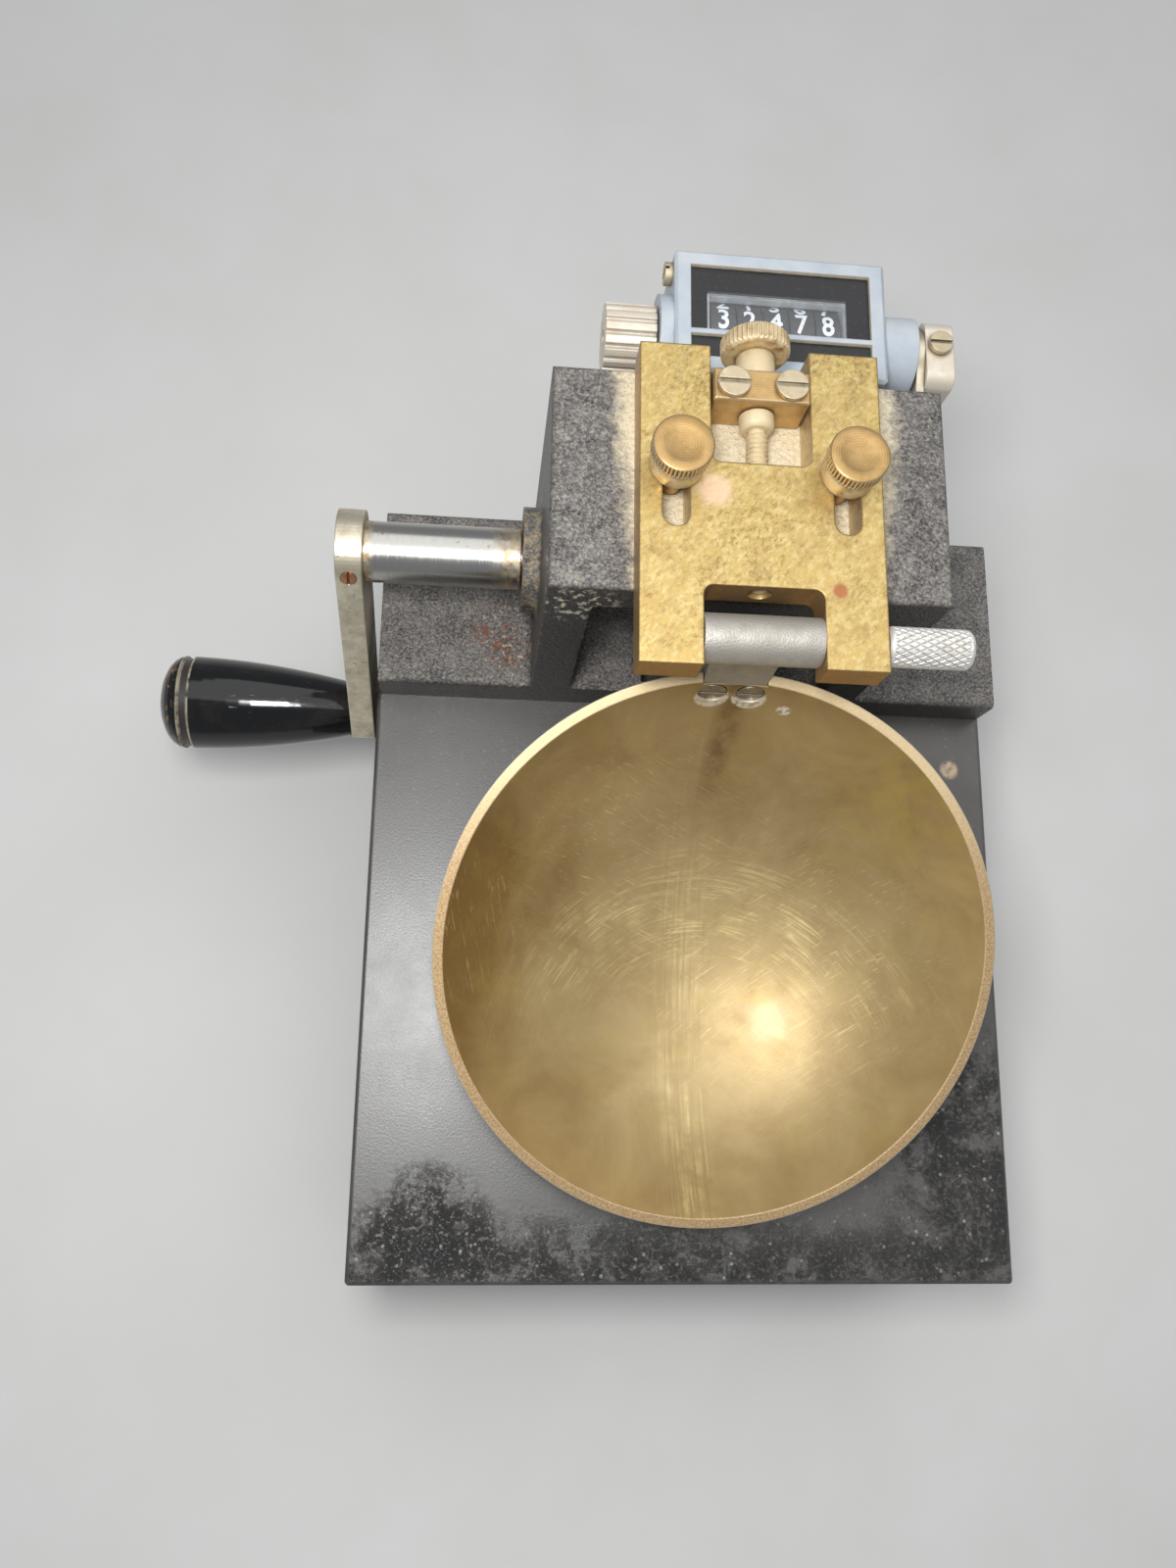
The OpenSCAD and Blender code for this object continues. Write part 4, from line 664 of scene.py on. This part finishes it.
def makeCounterEnamel(spec):
    finish, shader, coords = startFinish("blueGreyEnamel", 0, 0.38)
    at = addNode(shader, "SeparateXYZ", {"Vector": coords})
    edge, worn = wornEdges(shader, 0.4)
    cloud = grains(coords, 7, 0.36, 0.66, 5)
    peel = grains(coords, 0.6, 0.3, 0.7, 2)
    low = overlap(crevices(shader, 1.6, 0.3, 0.8), grains(coords, 1.4, 0.36, 0.6))
    colour = layOver(spec["blue"], ("c3c9cd", cloud))
    inner = overlap(within(at.outputs["X"], -8.35, 23.95, 0.03), within(at.outputs["Z"], 50.7, 51.97, 0.02))
    colour = layOver(colour,
                     (spec["cream"], inner, facing(shader, 0.8, 0.5)),
                     (spec["grime"], low, 0.5),
                     ("e3e2dd", worn, grains(coords, 2, 0.4, 0.6), 0.7))
    finishWith(shader, colour, (cloud, 0.32, 0.46), edge, (peel, 0.012))
    return finish


# Bracket: dark grey paint on folded steel
bracketPaint = {"grey": "3b3a39", "dust": "77716a"}


def makeBracketPaint(spec):
    finish, shader, coords = startFinish("darkBracketPaint", 0, 0.5)
    edge, worn = wornEdges(shader, 0.3)
    dusty = grains(coords, 3, 0.46, 0.7, 5)
    colour = layOver(spec["grey"], (spec["dust"], dusty, 0.6), ("9a958c", worn, 0.6))
    finishWith(shader, colour, (dusty, 0.42, 0.7), edge, (grains(coords, 0.5, 0.3, 0.7), 0.02))
    return finish


# Face plates and wheels: satin black plastic with a little dust
labelBlack = {"black": "202022", "dust": "6b6a68"}


def makeLabelBlack(spec, name, roughness):
    finish, shader, coords = startFinish(name, 0, roughness)
    dusty = grains(coords, 0.8, 0.6, 0.74, 4)
    wiped = grains(coords, 6, 0.4, 0.7)
    colour = layOver(spec["black"], (spec["dust"], gather((dusty, 0.35), (wiped, 0.06))))
    finishWith(shader, colour, (wiped, roughness - 0.08, roughness + 0.15), None, (dusty, 0.004))
    return finish


# Window: clear acrylic pane, faintly hazed
windowAcrylic = {"tint": "f4f7fa"}


def makeWindowAcrylic(spec):
    finish, shader, coords = startFinish("clearWindowAcrylic", 0, 0.05, spec["tint"], Alpha=0.06)
    haze = grains(coords, 2.5, 0.5, 0.75)
    finishWith(shader, None, (haze, 0.02, 0.12), None, (grains(coords, 4, 0.3, 0.7), 0.004))
    return finish


# Numbers: white ink, a little blue and thin at the strokes' edges
numberInk = {"white": "eef2f6", "thin": "b9c3cf"}


def makeNumberInk(spec):
    finish, shader, coords = startFinish("whiteNumberInk", 0, 0.5)
    patchy = grains(coords, 0.5, 0.5, 0.75)
    finishWith(shader, layOver(spec["white"], (spec["thin"], patchy)), (patchy, 0.45, 0.6), None,
               (patchy, 0.004))
    return finish


# Reset knob, clamp: die-cast zinc, pale cream and peach with dark grooves
castZinc = {"cream": "e8e1d2", "peach": "dcc6ac", "grime": "5c5144"}


def makeCastZinc(spec):
    finish, shader, coords = startFinish("creamCastZinc", 0.4, 0.45)
    edge, worn = wornEdges(shader, 0.3)
    cloud = grains(coords, 3.2, 0.36, 0.64, 5)
    low = crevices(shader, 0.9, 0.45, 0.95)
    colour = layOver(spec["cream"],
                     (spec["peach"], cloud, 0.6),
                     (spec["grime"], low, 0.85),
                     ("efe8da", worn, 0.5))
    finishWith(shader, colour, (cloud, 0.34, 0.55), edge, (grains(coords, 0.5, 0.3, 0.7), 0.015))
    return finish


finishes = {
    "base_block": makeHardRubber(hardRubber),
    "rubber_feet": makeFootRubber(footRubber),
    "frame_casting": makeWrinklePaint(wrinklePaint),
    "adjusting_plate": makePlateBrass(plateBrass),
    "cup_bowl": makeCupBrass(cupBrass),
    "shaft_sleeve": makeSleeveChrome(sleeveChrome),
    "crank_arm": makeDullNickel(dullNickel),
    "cup_hanger": makeBlastedSteel(blastedSteel),
    "hinge_pin": makePinSteel(pinSteel),
    "handle_grip": makeGripPhenolic(gripPhenolic),
    "arm_screw": makeCopperScrew(copperScrew),
    "shaft_bushings": makeBushingBronze(bushingBronze),
    "counter_housing": makeCounterEnamel(counterEnamel),
    "counter_bracket": makeBracketPaint(bracketPaint),
    "counter_labels": makeLabelBlack(labelBlack, "satinBlackLabel", 0.4),
    "counter_window": makeWindowAcrylic(windowAcrylic),
    "reset_knob": makeCastZinc(castZinc),
}
finishes["lever_clamp"] = finishes["reset_knob"]
finishes["counter_lever"] = finishes["crank_arm"]
thumbX, thumbY, thumbZ = places["thumbScrews"]
finishes["thumb_screw_left"] = makeKnobBrass(knobBrass, "turnedThumbBrassLeft", (-thumbX, thumbY, thumbZ))
finishes["thumb_screw_right"] = makeKnobBrass(knobBrass, "turnedThumbBrassRight", (thumbX, thumbY, thumbZ))
finishes["adjusting_knob"] = makeKnobBrass(knobBrass, "turnedKnobBrass", places["knob"], (90, 0, 0),
                                           dusty=0.75)
finishes["screw_block"] = makeKnobBrass(knobBrass, "brownBlockBrass", (0, 0, 0), ringDepth=0, dusty=0.1)
finishes["adjusting_screw"] = makeDustyThread(dustyThread)
wheelBlack = makeLabelBlack(labelBlack, "satinBlackWheel", 0.45)
finishes.update({f"number_wheel_{wheel}": wheelBlack for wheel in range(1, 6)})
smallScrews = makeSmallSteel(smallSteel, "plainScrewSteel")
dustyScrews = makeSmallSteel(smallSteel, "dustyScrewSteel", "dccfae", "b8a680", 0.8)
camSteel = makeSmallSteel(smallSteel, "oiledCamSteel", "95948f", "5e5c59")
finishes.update(dict.fromkeys(("block_screws", "counter_screws", "clamp_screw"), dustyScrews))
finishes.update(dict.fromkeys(("lift_cam", "cam_follower", "crank_shaft", "eccentric_disc"), camSteel))

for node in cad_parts:
    piece = bpy.data.objects[node]
    piece.data.materials.clear()
    piece.data.materials.append(finishes.get(node, smallScrews))
print("finishes made:", len(bpy.data.materials))


def deselectAll():
    bpy.ops.object.select_all(action="DESELECT")


def chooseElements(kind, wanted):
    # in edit mode, select just the edges or polygons the test wants
    mesh = bpy.context.object.data
    bpy.ops.mesh.select_mode(type={"polygons": "FACE", "edges": "EDGE"}[kind])
    bpy.ops.mesh.select_all(action="DESELECT")
    bpy.ops.object.mode_set(mode="OBJECT")
    for element in getattr(mesh, kind):
        element.select = wanted(mesh, element)
    bpy.ops.object.mode_set(mode="EDIT")


def settle(name, finish, smooth=None):
    # put the place into the mesh, name the piece and give it its finish
    bpy.ops.object.transform_apply(location=True, rotation=True, scale=True)
    piece = bpy.context.object
    piece.name = name
    piece.data.name = name
    piece.data.materials.clear()
    piece.data.materials.append(finish)
    if smooth:
        bpy.ops.object.shade_smooth_by_angle(angle=radians(smooth))
    return piece


def turnOnLathe(steps, segments):
    # a turned solid along +Z from a flat end, as (height, radius) steps in millimetres
    deselectAll()
    height, radius = steps[0]
    bpy.ops.mesh.primitive_circle_add(vertices=segments, radius=radius * mm, fill_type="NGON",
                                      location=(0, 0, height * mm))
    bpy.ops.object.transform_apply(location=True)
    bpy.ops.object.mode_set(mode="EDIT")
    bpy.ops.mesh.select_mode(type="FACE")
    bpy.ops.mesh.select_all(action="SELECT")
    for nextHeight, nextRadius in steps[1:]:
        bpy.ops.mesh.extrude_region_move(TRANSFORM_OT_translate={"value": (0, 0, (nextHeight - height) * mm)})
        if nextRadius != radius:
            size = nextRadius / radius
            bpy.ops.transform.resize(value=(size, size, 1), center_override=(0, 0, nextHeight * mm))
        height, radius = nextHeight, nextRadius
    bpy.ops.mesh.select_all(action="SELECT")
    bpy.ops.mesh.normals_make_consistent(inside=False)
    bpy.ops.object.mode_set(mode="OBJECT")
    return bpy.context.object


def closeEnds():
    # from edit mode: a face over every open end, then back to object mode
    bpy.ops.mesh.select_all(action="DESELECT")
    bpy.ops.mesh.select_mode(type="EDGE")
    bpy.ops.mesh.select_non_manifold()
    bpy.ops.mesh.edge_face_add()
    bpy.ops.mesh.select_all(action="SELECT")
    bpy.ops.mesh.normals_make_consistent(inside=False)
    bpy.ops.object.mode_set(mode="OBJECT")


def joinPieces(pieces):
    deselectAll()
    for piece in pieces:
        piece.select_set(True)
    bpy.context.view_layer.objects.active = pieces[0]
    bpy.ops.object.join()
    return bpy.context.object


def layAlong(piece, target, hinge):
    # a quarter turn about one axis that brings the piece's Z onto the target direction
    bpy.ops.transform.rotate(value=pi / 2, orient_axis=hinge, center_override=(0, 0, 0))
    if (piece.matrix_world.to_3x3() @ Vector((0, 0, 1))).dot(Vector(target)) < 0:
        bpy.ops.transform.rotate(value=pi, orient_axis=hinge, center_override=(0, 0, 0))


# Hinge pin: a plain shaft with a diamond-knurled grip, cut in 18 rows round
hingePin = {"rows": 18, "rings": 6, "groove": 0.2, "crest": 0.17, "gripLength": 13.4, "gripRadius": 3.16,
            "landRadius": 3.1, "endRadius": 2.675, "shaftRadius": 2.4, "tip": 0.3, "chamfer": 0.5,
            "land": 0.35, "fade": 0.1, "coreRadius": 1.2, "segments": 48}


def makeHingePin(spec):
    low, high = [Vector(c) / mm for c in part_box("hinge_pin")]
    start, end = high.x - spec["gripLength"], high.x
    root = spec["gripRadius"] - spec["groove"]
    nearly = 0.01 * mm
    # the knurled skin: a tube of quads, poked and cleared of its square edges
    deselectAll()
    bpy.ops.mesh.primitive_cylinder_add(vertices=spec["rows"], radius=root * mm, end_fill_type="NOTHING",
                                        depth=(spec["gripLength"] - 2 * spec["chamfer"]) * mm)
    skin = bpy.context.object
    bpy.ops.object.mode_set(mode="EDIT")

    def spans(mesh, edge):
        # how far an edge runs along the axis, and across it
        first, second = (mesh.vertices[v].co for v in edge.vertices)
        return abs(first.z - second.z), (first.xy - second.xy).length

    chooseElements("edges", lambda mesh, edge: spans(mesh, edge)[0] > nearly)
    bpy.ops.mesh.subdivide(number_cuts=spec["rings"] - 1)
    bpy.ops.mesh.select_mode(type="FACE")
    bpy.ops.mesh.select_all(action="SELECT")
    bpy.ops.mesh.poke(offset=root * (1 - cos(pi / spec["rows"])) * mm)
    bpy.ops.object.mode_set(mode="OBJECT")
    sides = [key for face in skin.data.polygons for key in face.edge_keys]
    shared = {key for key in sides if sides.count(key) == 2}
    bpy.ops.object.mode_set(mode="EDIT")
    chooseElements("edges", lambda mesh, edge: edge.key in shared and min(spans(mesh, edge)) < nearly)
    bpy.ops.mesh.dissolve_edges(use_verts=False)
    bpy.ops.mesh.select_mode(type="FACE")
    bpy.ops.mesh.select_all(action="SELECT")
    bpy.ops.mesh.inset(thickness=spec["crest"] * mm, depth=spec["groove"] * mm, use_individual=True)
    closeEnds()
    bpy.ops.transform.translate(value=(0, 0, (start + spec["gripLength"] / 2) * mm))
    bpy.ops.object.transform_apply(location=True)
    # the shaft stops short of the grip's end faces, so that no two faces share a plane
    tip, shaft, wide = spec["tip"], spec["shaftRadius"], spec["landRadius"]
    chamfer, land = spec["chamfer"], spec["chamfer"] + spec["land"]
    core = turnOnLathe([(low.x, shaft - tip), (low.x + tip, shaft), (start + tip, shaft), (start + tip, root),
                        (end - tip, root)], spec["segments"])
    left = turnOnLathe([(start, spec["coreRadius"]), (start, spec["endRadius"]), (start + chamfer, wide),
                        (start + land, wide), (start + land + spec["fade"], root)], spec["segments"])
    right = turnOnLathe([(end - land - spec["fade"], root), (end - land, wide), (end - chamfer, wide),
                         (end, spec["endRadius"])], spec["segments"])
    pin = joinPieces([core, skin, left, right])
    layAlong(pin, (1, 0, 0), "Y")
    middle = (low + high) / 2
    bpy.ops.transform.translate(value=(0, middle.y * mm, middle.z * mm))
    pin = settle("knurledHingePin", finishes["hinge_pin"], 32)
    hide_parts("hinge_pin")
    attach(pin, "pin")


makeHingePin(hingePin)
print("hinge pin knurled")


# Adjusting screw: core and V thread of 0.8 mm pitch, then collar, neck and hub, turned in
# steps of height from the collar and radius
adjustingScrew = {"pitch": 0.8, "core": 1.42, "crest": 1.79, "rootHeight": 0.33, "sunk": 0.97, "tip": 0.4,
                  "threadEnd": 26.2, "steps": 28, "segments": 40, "collar": 62.35, "neck": 1.8, "end": 0.2,
                  "turned": ((0, 1.42), (0, 2.2), (0.3, 2.6), (0.7, 2.8), (2.6, 2.8), (2.8, 2.6), (2.8, 1.8),
                             (8.4, 1.8), (8.4, 2.9), (8.6, 3.1), (12.9, 3.1), (13.2, 2.9), (13.2, 1.8))}


def makeAdjustingScrew(spec):
    low, high = [Vector(c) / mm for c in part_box("adjusting_screw")]
    length = high.y - low.y
    collar = spec["collar"] - low.y
    core, neck, tip = spec["core"], spec["neck"], spec["tip"]
    body = turnOnLathe([(0, core - tip), (tip, core)]
                       + [(collar + up, radius) for up, radius in spec["turned"]]
                       + [(length - spec["end"], neck), (length, neck - spec["end"])], spec["segments"])
    # one turn of the thread is a triangle swept round and up, repeated by the modifier
    deselectAll()
    bpy.ops.mesh.primitive_circle_add(vertices=3, fill_type="NOTHING")
    thread = bpy.context.object
    sunk, rise = core * spec["sunk"] * mm, spec["rootHeight"] * mm
    corners = [(spec["crest"] * mm, 0, 0), (sunk, 0, -rise), (sunk, 0, rise)]
    for vertex, corner in zip(thread.data.vertices, corners):
        vertex.co = corner
    sweep = thread.modifiers.new("sweep", "SCREW")
    sweep.axis = "Z"
    sweep.angle = 2 * pi
    sweep.screw_offset = spec["pitch"] * mm
    sweep.iterations = int(spec["threadEnd"] / spec["pitch"])
    sweep.steps = sweep.render_steps = spec["steps"]
    sweep.use_merge_vertices = True
    bpy.ops.object.modifier_apply(modifier="sweep")
    bpy.ops.object.mode_set(mode="EDIT")
    closeEnds()
    bpy.ops.transform.translate(value=(0, 0, tip * mm))
    bpy.ops.object.transform_apply(location=True)
    screw = joinPieces([body, thread])
    layAlong(screw, (0, 1, 0), "X")
    bpy.ops.transform.translate(value=(0, low.y * mm, (low.z + high.z) / 2 * mm))
    screw = settle("threadedAdjustingScrew", finishes["adjusting_screw"], 35)
    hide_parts("adjusting_screw")
    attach(screw, "screw")


makeAdjustingScrew(adjustingScrew)
print("adjusting screw threaded")


# Thumb screws: a smooth collar, a turned neck and a straight-knurled head
thumbScrew = {"ridges": 46, "ridgeDepth": 0.3, "ridgeEdge": 0.03, "headRadius": 4.7, "headHeight": 2.75,
              "collarRadius": 4.3, "shankRadius": 1.9, "tip": 0.2, "seatGap": 0.05, "neck": 0.4,
              "neckDepth": 0.5, "chamfer": 0.2, "headEdge": 0.3, "dish": 0.05, "dishRim": 1.6}


def makeThumbScrew(side, spec):
    low, high = [Vector(c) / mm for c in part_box(f"thumb_screw_{side}")]
    seat = places["plateTop"] + spec["seatGap"]
    head = high.z - spec["headHeight"]
    neck = head - spec["neck"]
    shank, wide, crown = spec["shankRadius"], spec["collarRadius"], spec["headRadius"]
    bandLow, bandHigh = head + spec["headEdge"], high.z - spec["chamfer"]
    top = crown - spec["chamfer"]
    screw = turnOnLathe([(low.z, shank - spec["tip"]), (low.z + spec["tip"], shank), (seat, shank),
                         (seat, wide - 0.4), (seat + 0.15, wide - 0.1), (seat + 0.4, wide),
                         (neck - 0.7, wide), (neck - 0.3, wide - 0.12), (neck, wide - spec["neckDepth"]),
                         (head, wide - spec["neckDepth"]), (head, crown - spec["headEdge"]), (bandLow, crown),
                         (bandHigh, crown), (high.z - 0.06, top + 0.06), (high.z, top - 0.06),
                         (high.z, top - spec["dishRim"]),
                         (high.z - spec["dish"], top - spec["dishRim"] - 0.1)],
                        spec["ridges"] * 2)
    # press every second face of the head's band inwards
    bpy.ops.object.mode_set(mode="EDIT")
    step = 180 / spec["ridges"]

    def isGroove(mesh, face):
        turn = degrees(face.center.xy.angle_signed(Vector((1, 0)), 0))
        return bandLow * mm < face.center.z < bandHigh * mm and round(turn / step - 0.5) % 2 == 0

    chooseElements("polygons", isGroove)
    bpy.ops.mesh.inset(thickness=spec["ridgeEdge"] * mm, depth=-spec["ridgeDepth"] * mm, use_individual=True)
    bpy.ops.object.mode_set(mode="OBJECT")
    middle = (low + high) / 2
    bpy.ops.transform.translate(value=(middle.x * mm, middle.y * mm, 0))
    screw = settle(f"turnedThumbScrew{side.capitalize()}", finishes[f"thumb_screw_{side}"], 35)
    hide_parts(f"thumb_screw_{side}")
    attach(screw, f"thumb_{side}")


for side in ("left", "right"):
    makeThumbScrew(side, thumbScrew)
print("thumb screws turned")


# Numbers on the wheels: ten digits round each wheel, every 36 degrees, top to the rear
wheelNumbers = {"shown": (3, 2, 4, 7, 8), "size": 5.7, "narrow": 0.8, "bold": 0.12, "lean": 7,
                "wheelRadius": 7.2, "pitch": 4.67, "proud": 0.025, "inkDepth": 0.3, "slab": 0.7,
                "wheelWidth": 4.2, "facets": 96, "nearPoints": 0.002}


def makeDigit(number, spec):
    # a thin slab in the figure's shape, its top cut to the wheel's curve
    deselectAll()
    bpy.ops.object.text_add(location=(0, 0, (spec["wheelRadius"] - spec["inkDepth"]) * mm))
    figure = bpy.context.object
    figure.data.body = str(number)
    figure.data.size = spec["size"] * mm
    figure.data.align_x = "CENTER"
    figure.data.align_y = "CENTER"
    figure.data.offset = spec["bold"] * mm
    figure.data.extrude = spec["slab"] * mm
    figure.data.resolution_u = 4
    figure.scale = (spec["narrow"], 1, 1)
    bpy.ops.object.convert(target="MESH")
    bpy.ops.object.transform_apply(location=True, rotation=True, scale=True)
    figure = bpy.context.object
    bpy.ops.object.mode_set(mode="EDIT")
    bpy.ops.mesh.select_all(action="SELECT")
    bpy.ops.mesh.remove_doubles(threshold=spec["nearPoints"] * mm)
    bpy.ops.object.mode_set(mode="OBJECT")
    # centre it on the wheel's middle line
    corners = [Vector(c) for c in figure.bound_box]
    middleX, middleY = [(min(values) + max(values)) / 2 for values in list(zip(*corners))[:2]]
    bpy.ops.transform.translate(value=(-middleX, -middleY, 0))
    bpy.ops.object.transform_apply(location=True)
    deselectAll()
    bpy.ops.mesh.primitive_cylinder_add(vertices=spec["facets"], depth=spec["wheelWidth"] * mm,
                                        radius=(spec["wheelRadius"] + spec["proud"]) * mm,
                                        rotation=(0, pi / 2, 0))
    bpy.ops.object.transform_apply(rotation=True)
    drum = bpy.context.object
    deselectAll()
    bpy.context.view_layer.objects.active = figure
    figure.select_set(True)
    cut = figure.modifiers.new("curve", "BOOLEAN")
    cut.operation = "INTERSECT"
    cut.object = drum
    cut.use_self = True  # the bold 4 overlaps itself
    bpy.ops.object.modifier_apply(modifier="curve")
    bpy.data.objects.remove(drum)
    return figure


def makeWheelNumbers(spec):
    digits = [makeDigit(number, spec) for number in range(10)]
    centreX, drumY, drumZ = places["drum"]
    for wheel, shown in enumerate(spec["shown"]):
        copies = []
        for number, digit in enumerate(digits):
            deselectAll()
            bpy.context.view_layer.objects.active = digit
            digit.select_set(True)
            bpy.ops.object.duplicate()
            # the next higher figure stands one step to the front
            turn = radians(36 * ((shown - number) % 10) + spec["lean"])
            bpy.ops.transform.rotate(value=turn, orient_axis="X", center_override=(0, 0, 0))
            bpy.ops.object.transform_apply(location=True, rotation=True)
            copies.append(bpy.context.object)
        joinPieces(copies)
        x = centreX + (wheel - 2) * spec["pitch"]
        bpy.ops.transform.translate(value=(x * mm, drumY * mm, drumZ * mm))
        strip = settle(f"wheelNumbers{wheel + 1}", numberInkFinish, 30)
        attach(strip, f"wheel_{wheel + 1}")
    for digit in digits:
        bpy.data.objects.remove(digit)


numberInkFinish = makeNumberInk(numberInk)
makeWheelNumbers(wheelNumbers)
print("wheels numbered")


# Floor, lamps and world: a pale floor and soft light from above and a little left
studio = {"floor": "d9d8d4", "floorPale": "dededb", "floorSize": 3, "floorHeight": -0.058,
          "aim": (0, 0, 0.02), "lampPlace": (-0.062, -0.014, 0.245), "lampSize": 0.05, "lampPower": 0.42,
          "softPlace": (0.10, 0.26, 0.85), "softSize": 1.0, "softPower": 3.8,
          "world": "c9cdd2", "worldLight": 0.5}


def makeStudio(spec):
    finish, shader, coords = startFinish("paleFloorPaint", 0, 0.9)
    cloud = grains(coords, 60, 0.3, 0.7)
    finishWith(shader, layOver(spec["floor"], (spec["floorPale"], cloud)), (cloud, 0.85, 0.95))
    deselectAll()
    bpy.ops.mesh.primitive_plane_add(size=spec["floorSize"], location=(0, 0, spec["floorHeight"]))
    floor = settle("floor", finish)
    for name, place, size, power in (("keyLamp", spec["lampPlace"], spec["lampSize"], spec["lampPower"]),
                                     ("softLamp", spec["softPlace"], spec["softSize"], spec["softPower"])):
        bpy.ops.object.light_add(type="AREA", location=place)
        lamp = bpy.context.object
        lamp.name = name
        lamp.data.energy = power
        lamp.data.size = size
        aim = Vector(spec["aim"]) - Vector(place)
        lamp.rotation_euler = aim.to_track_quat("-Z", "Y").to_euler()
    world = bpy.data.worlds.new("studioLight")
    bpy.context.scene.world = world
    world.use_nodes = True
    sky = world.node_tree.nodes["Background"]
    sky.inputs["Color"].default_value = hexColour(spec["world"])
    sky.inputs["Strength"].default_value = spec["worldLight"]
    bpy.context.scene.view_settings.view_transform = "Standard"


makeStudio(studio)
print("studio lit")

print("scene ready")
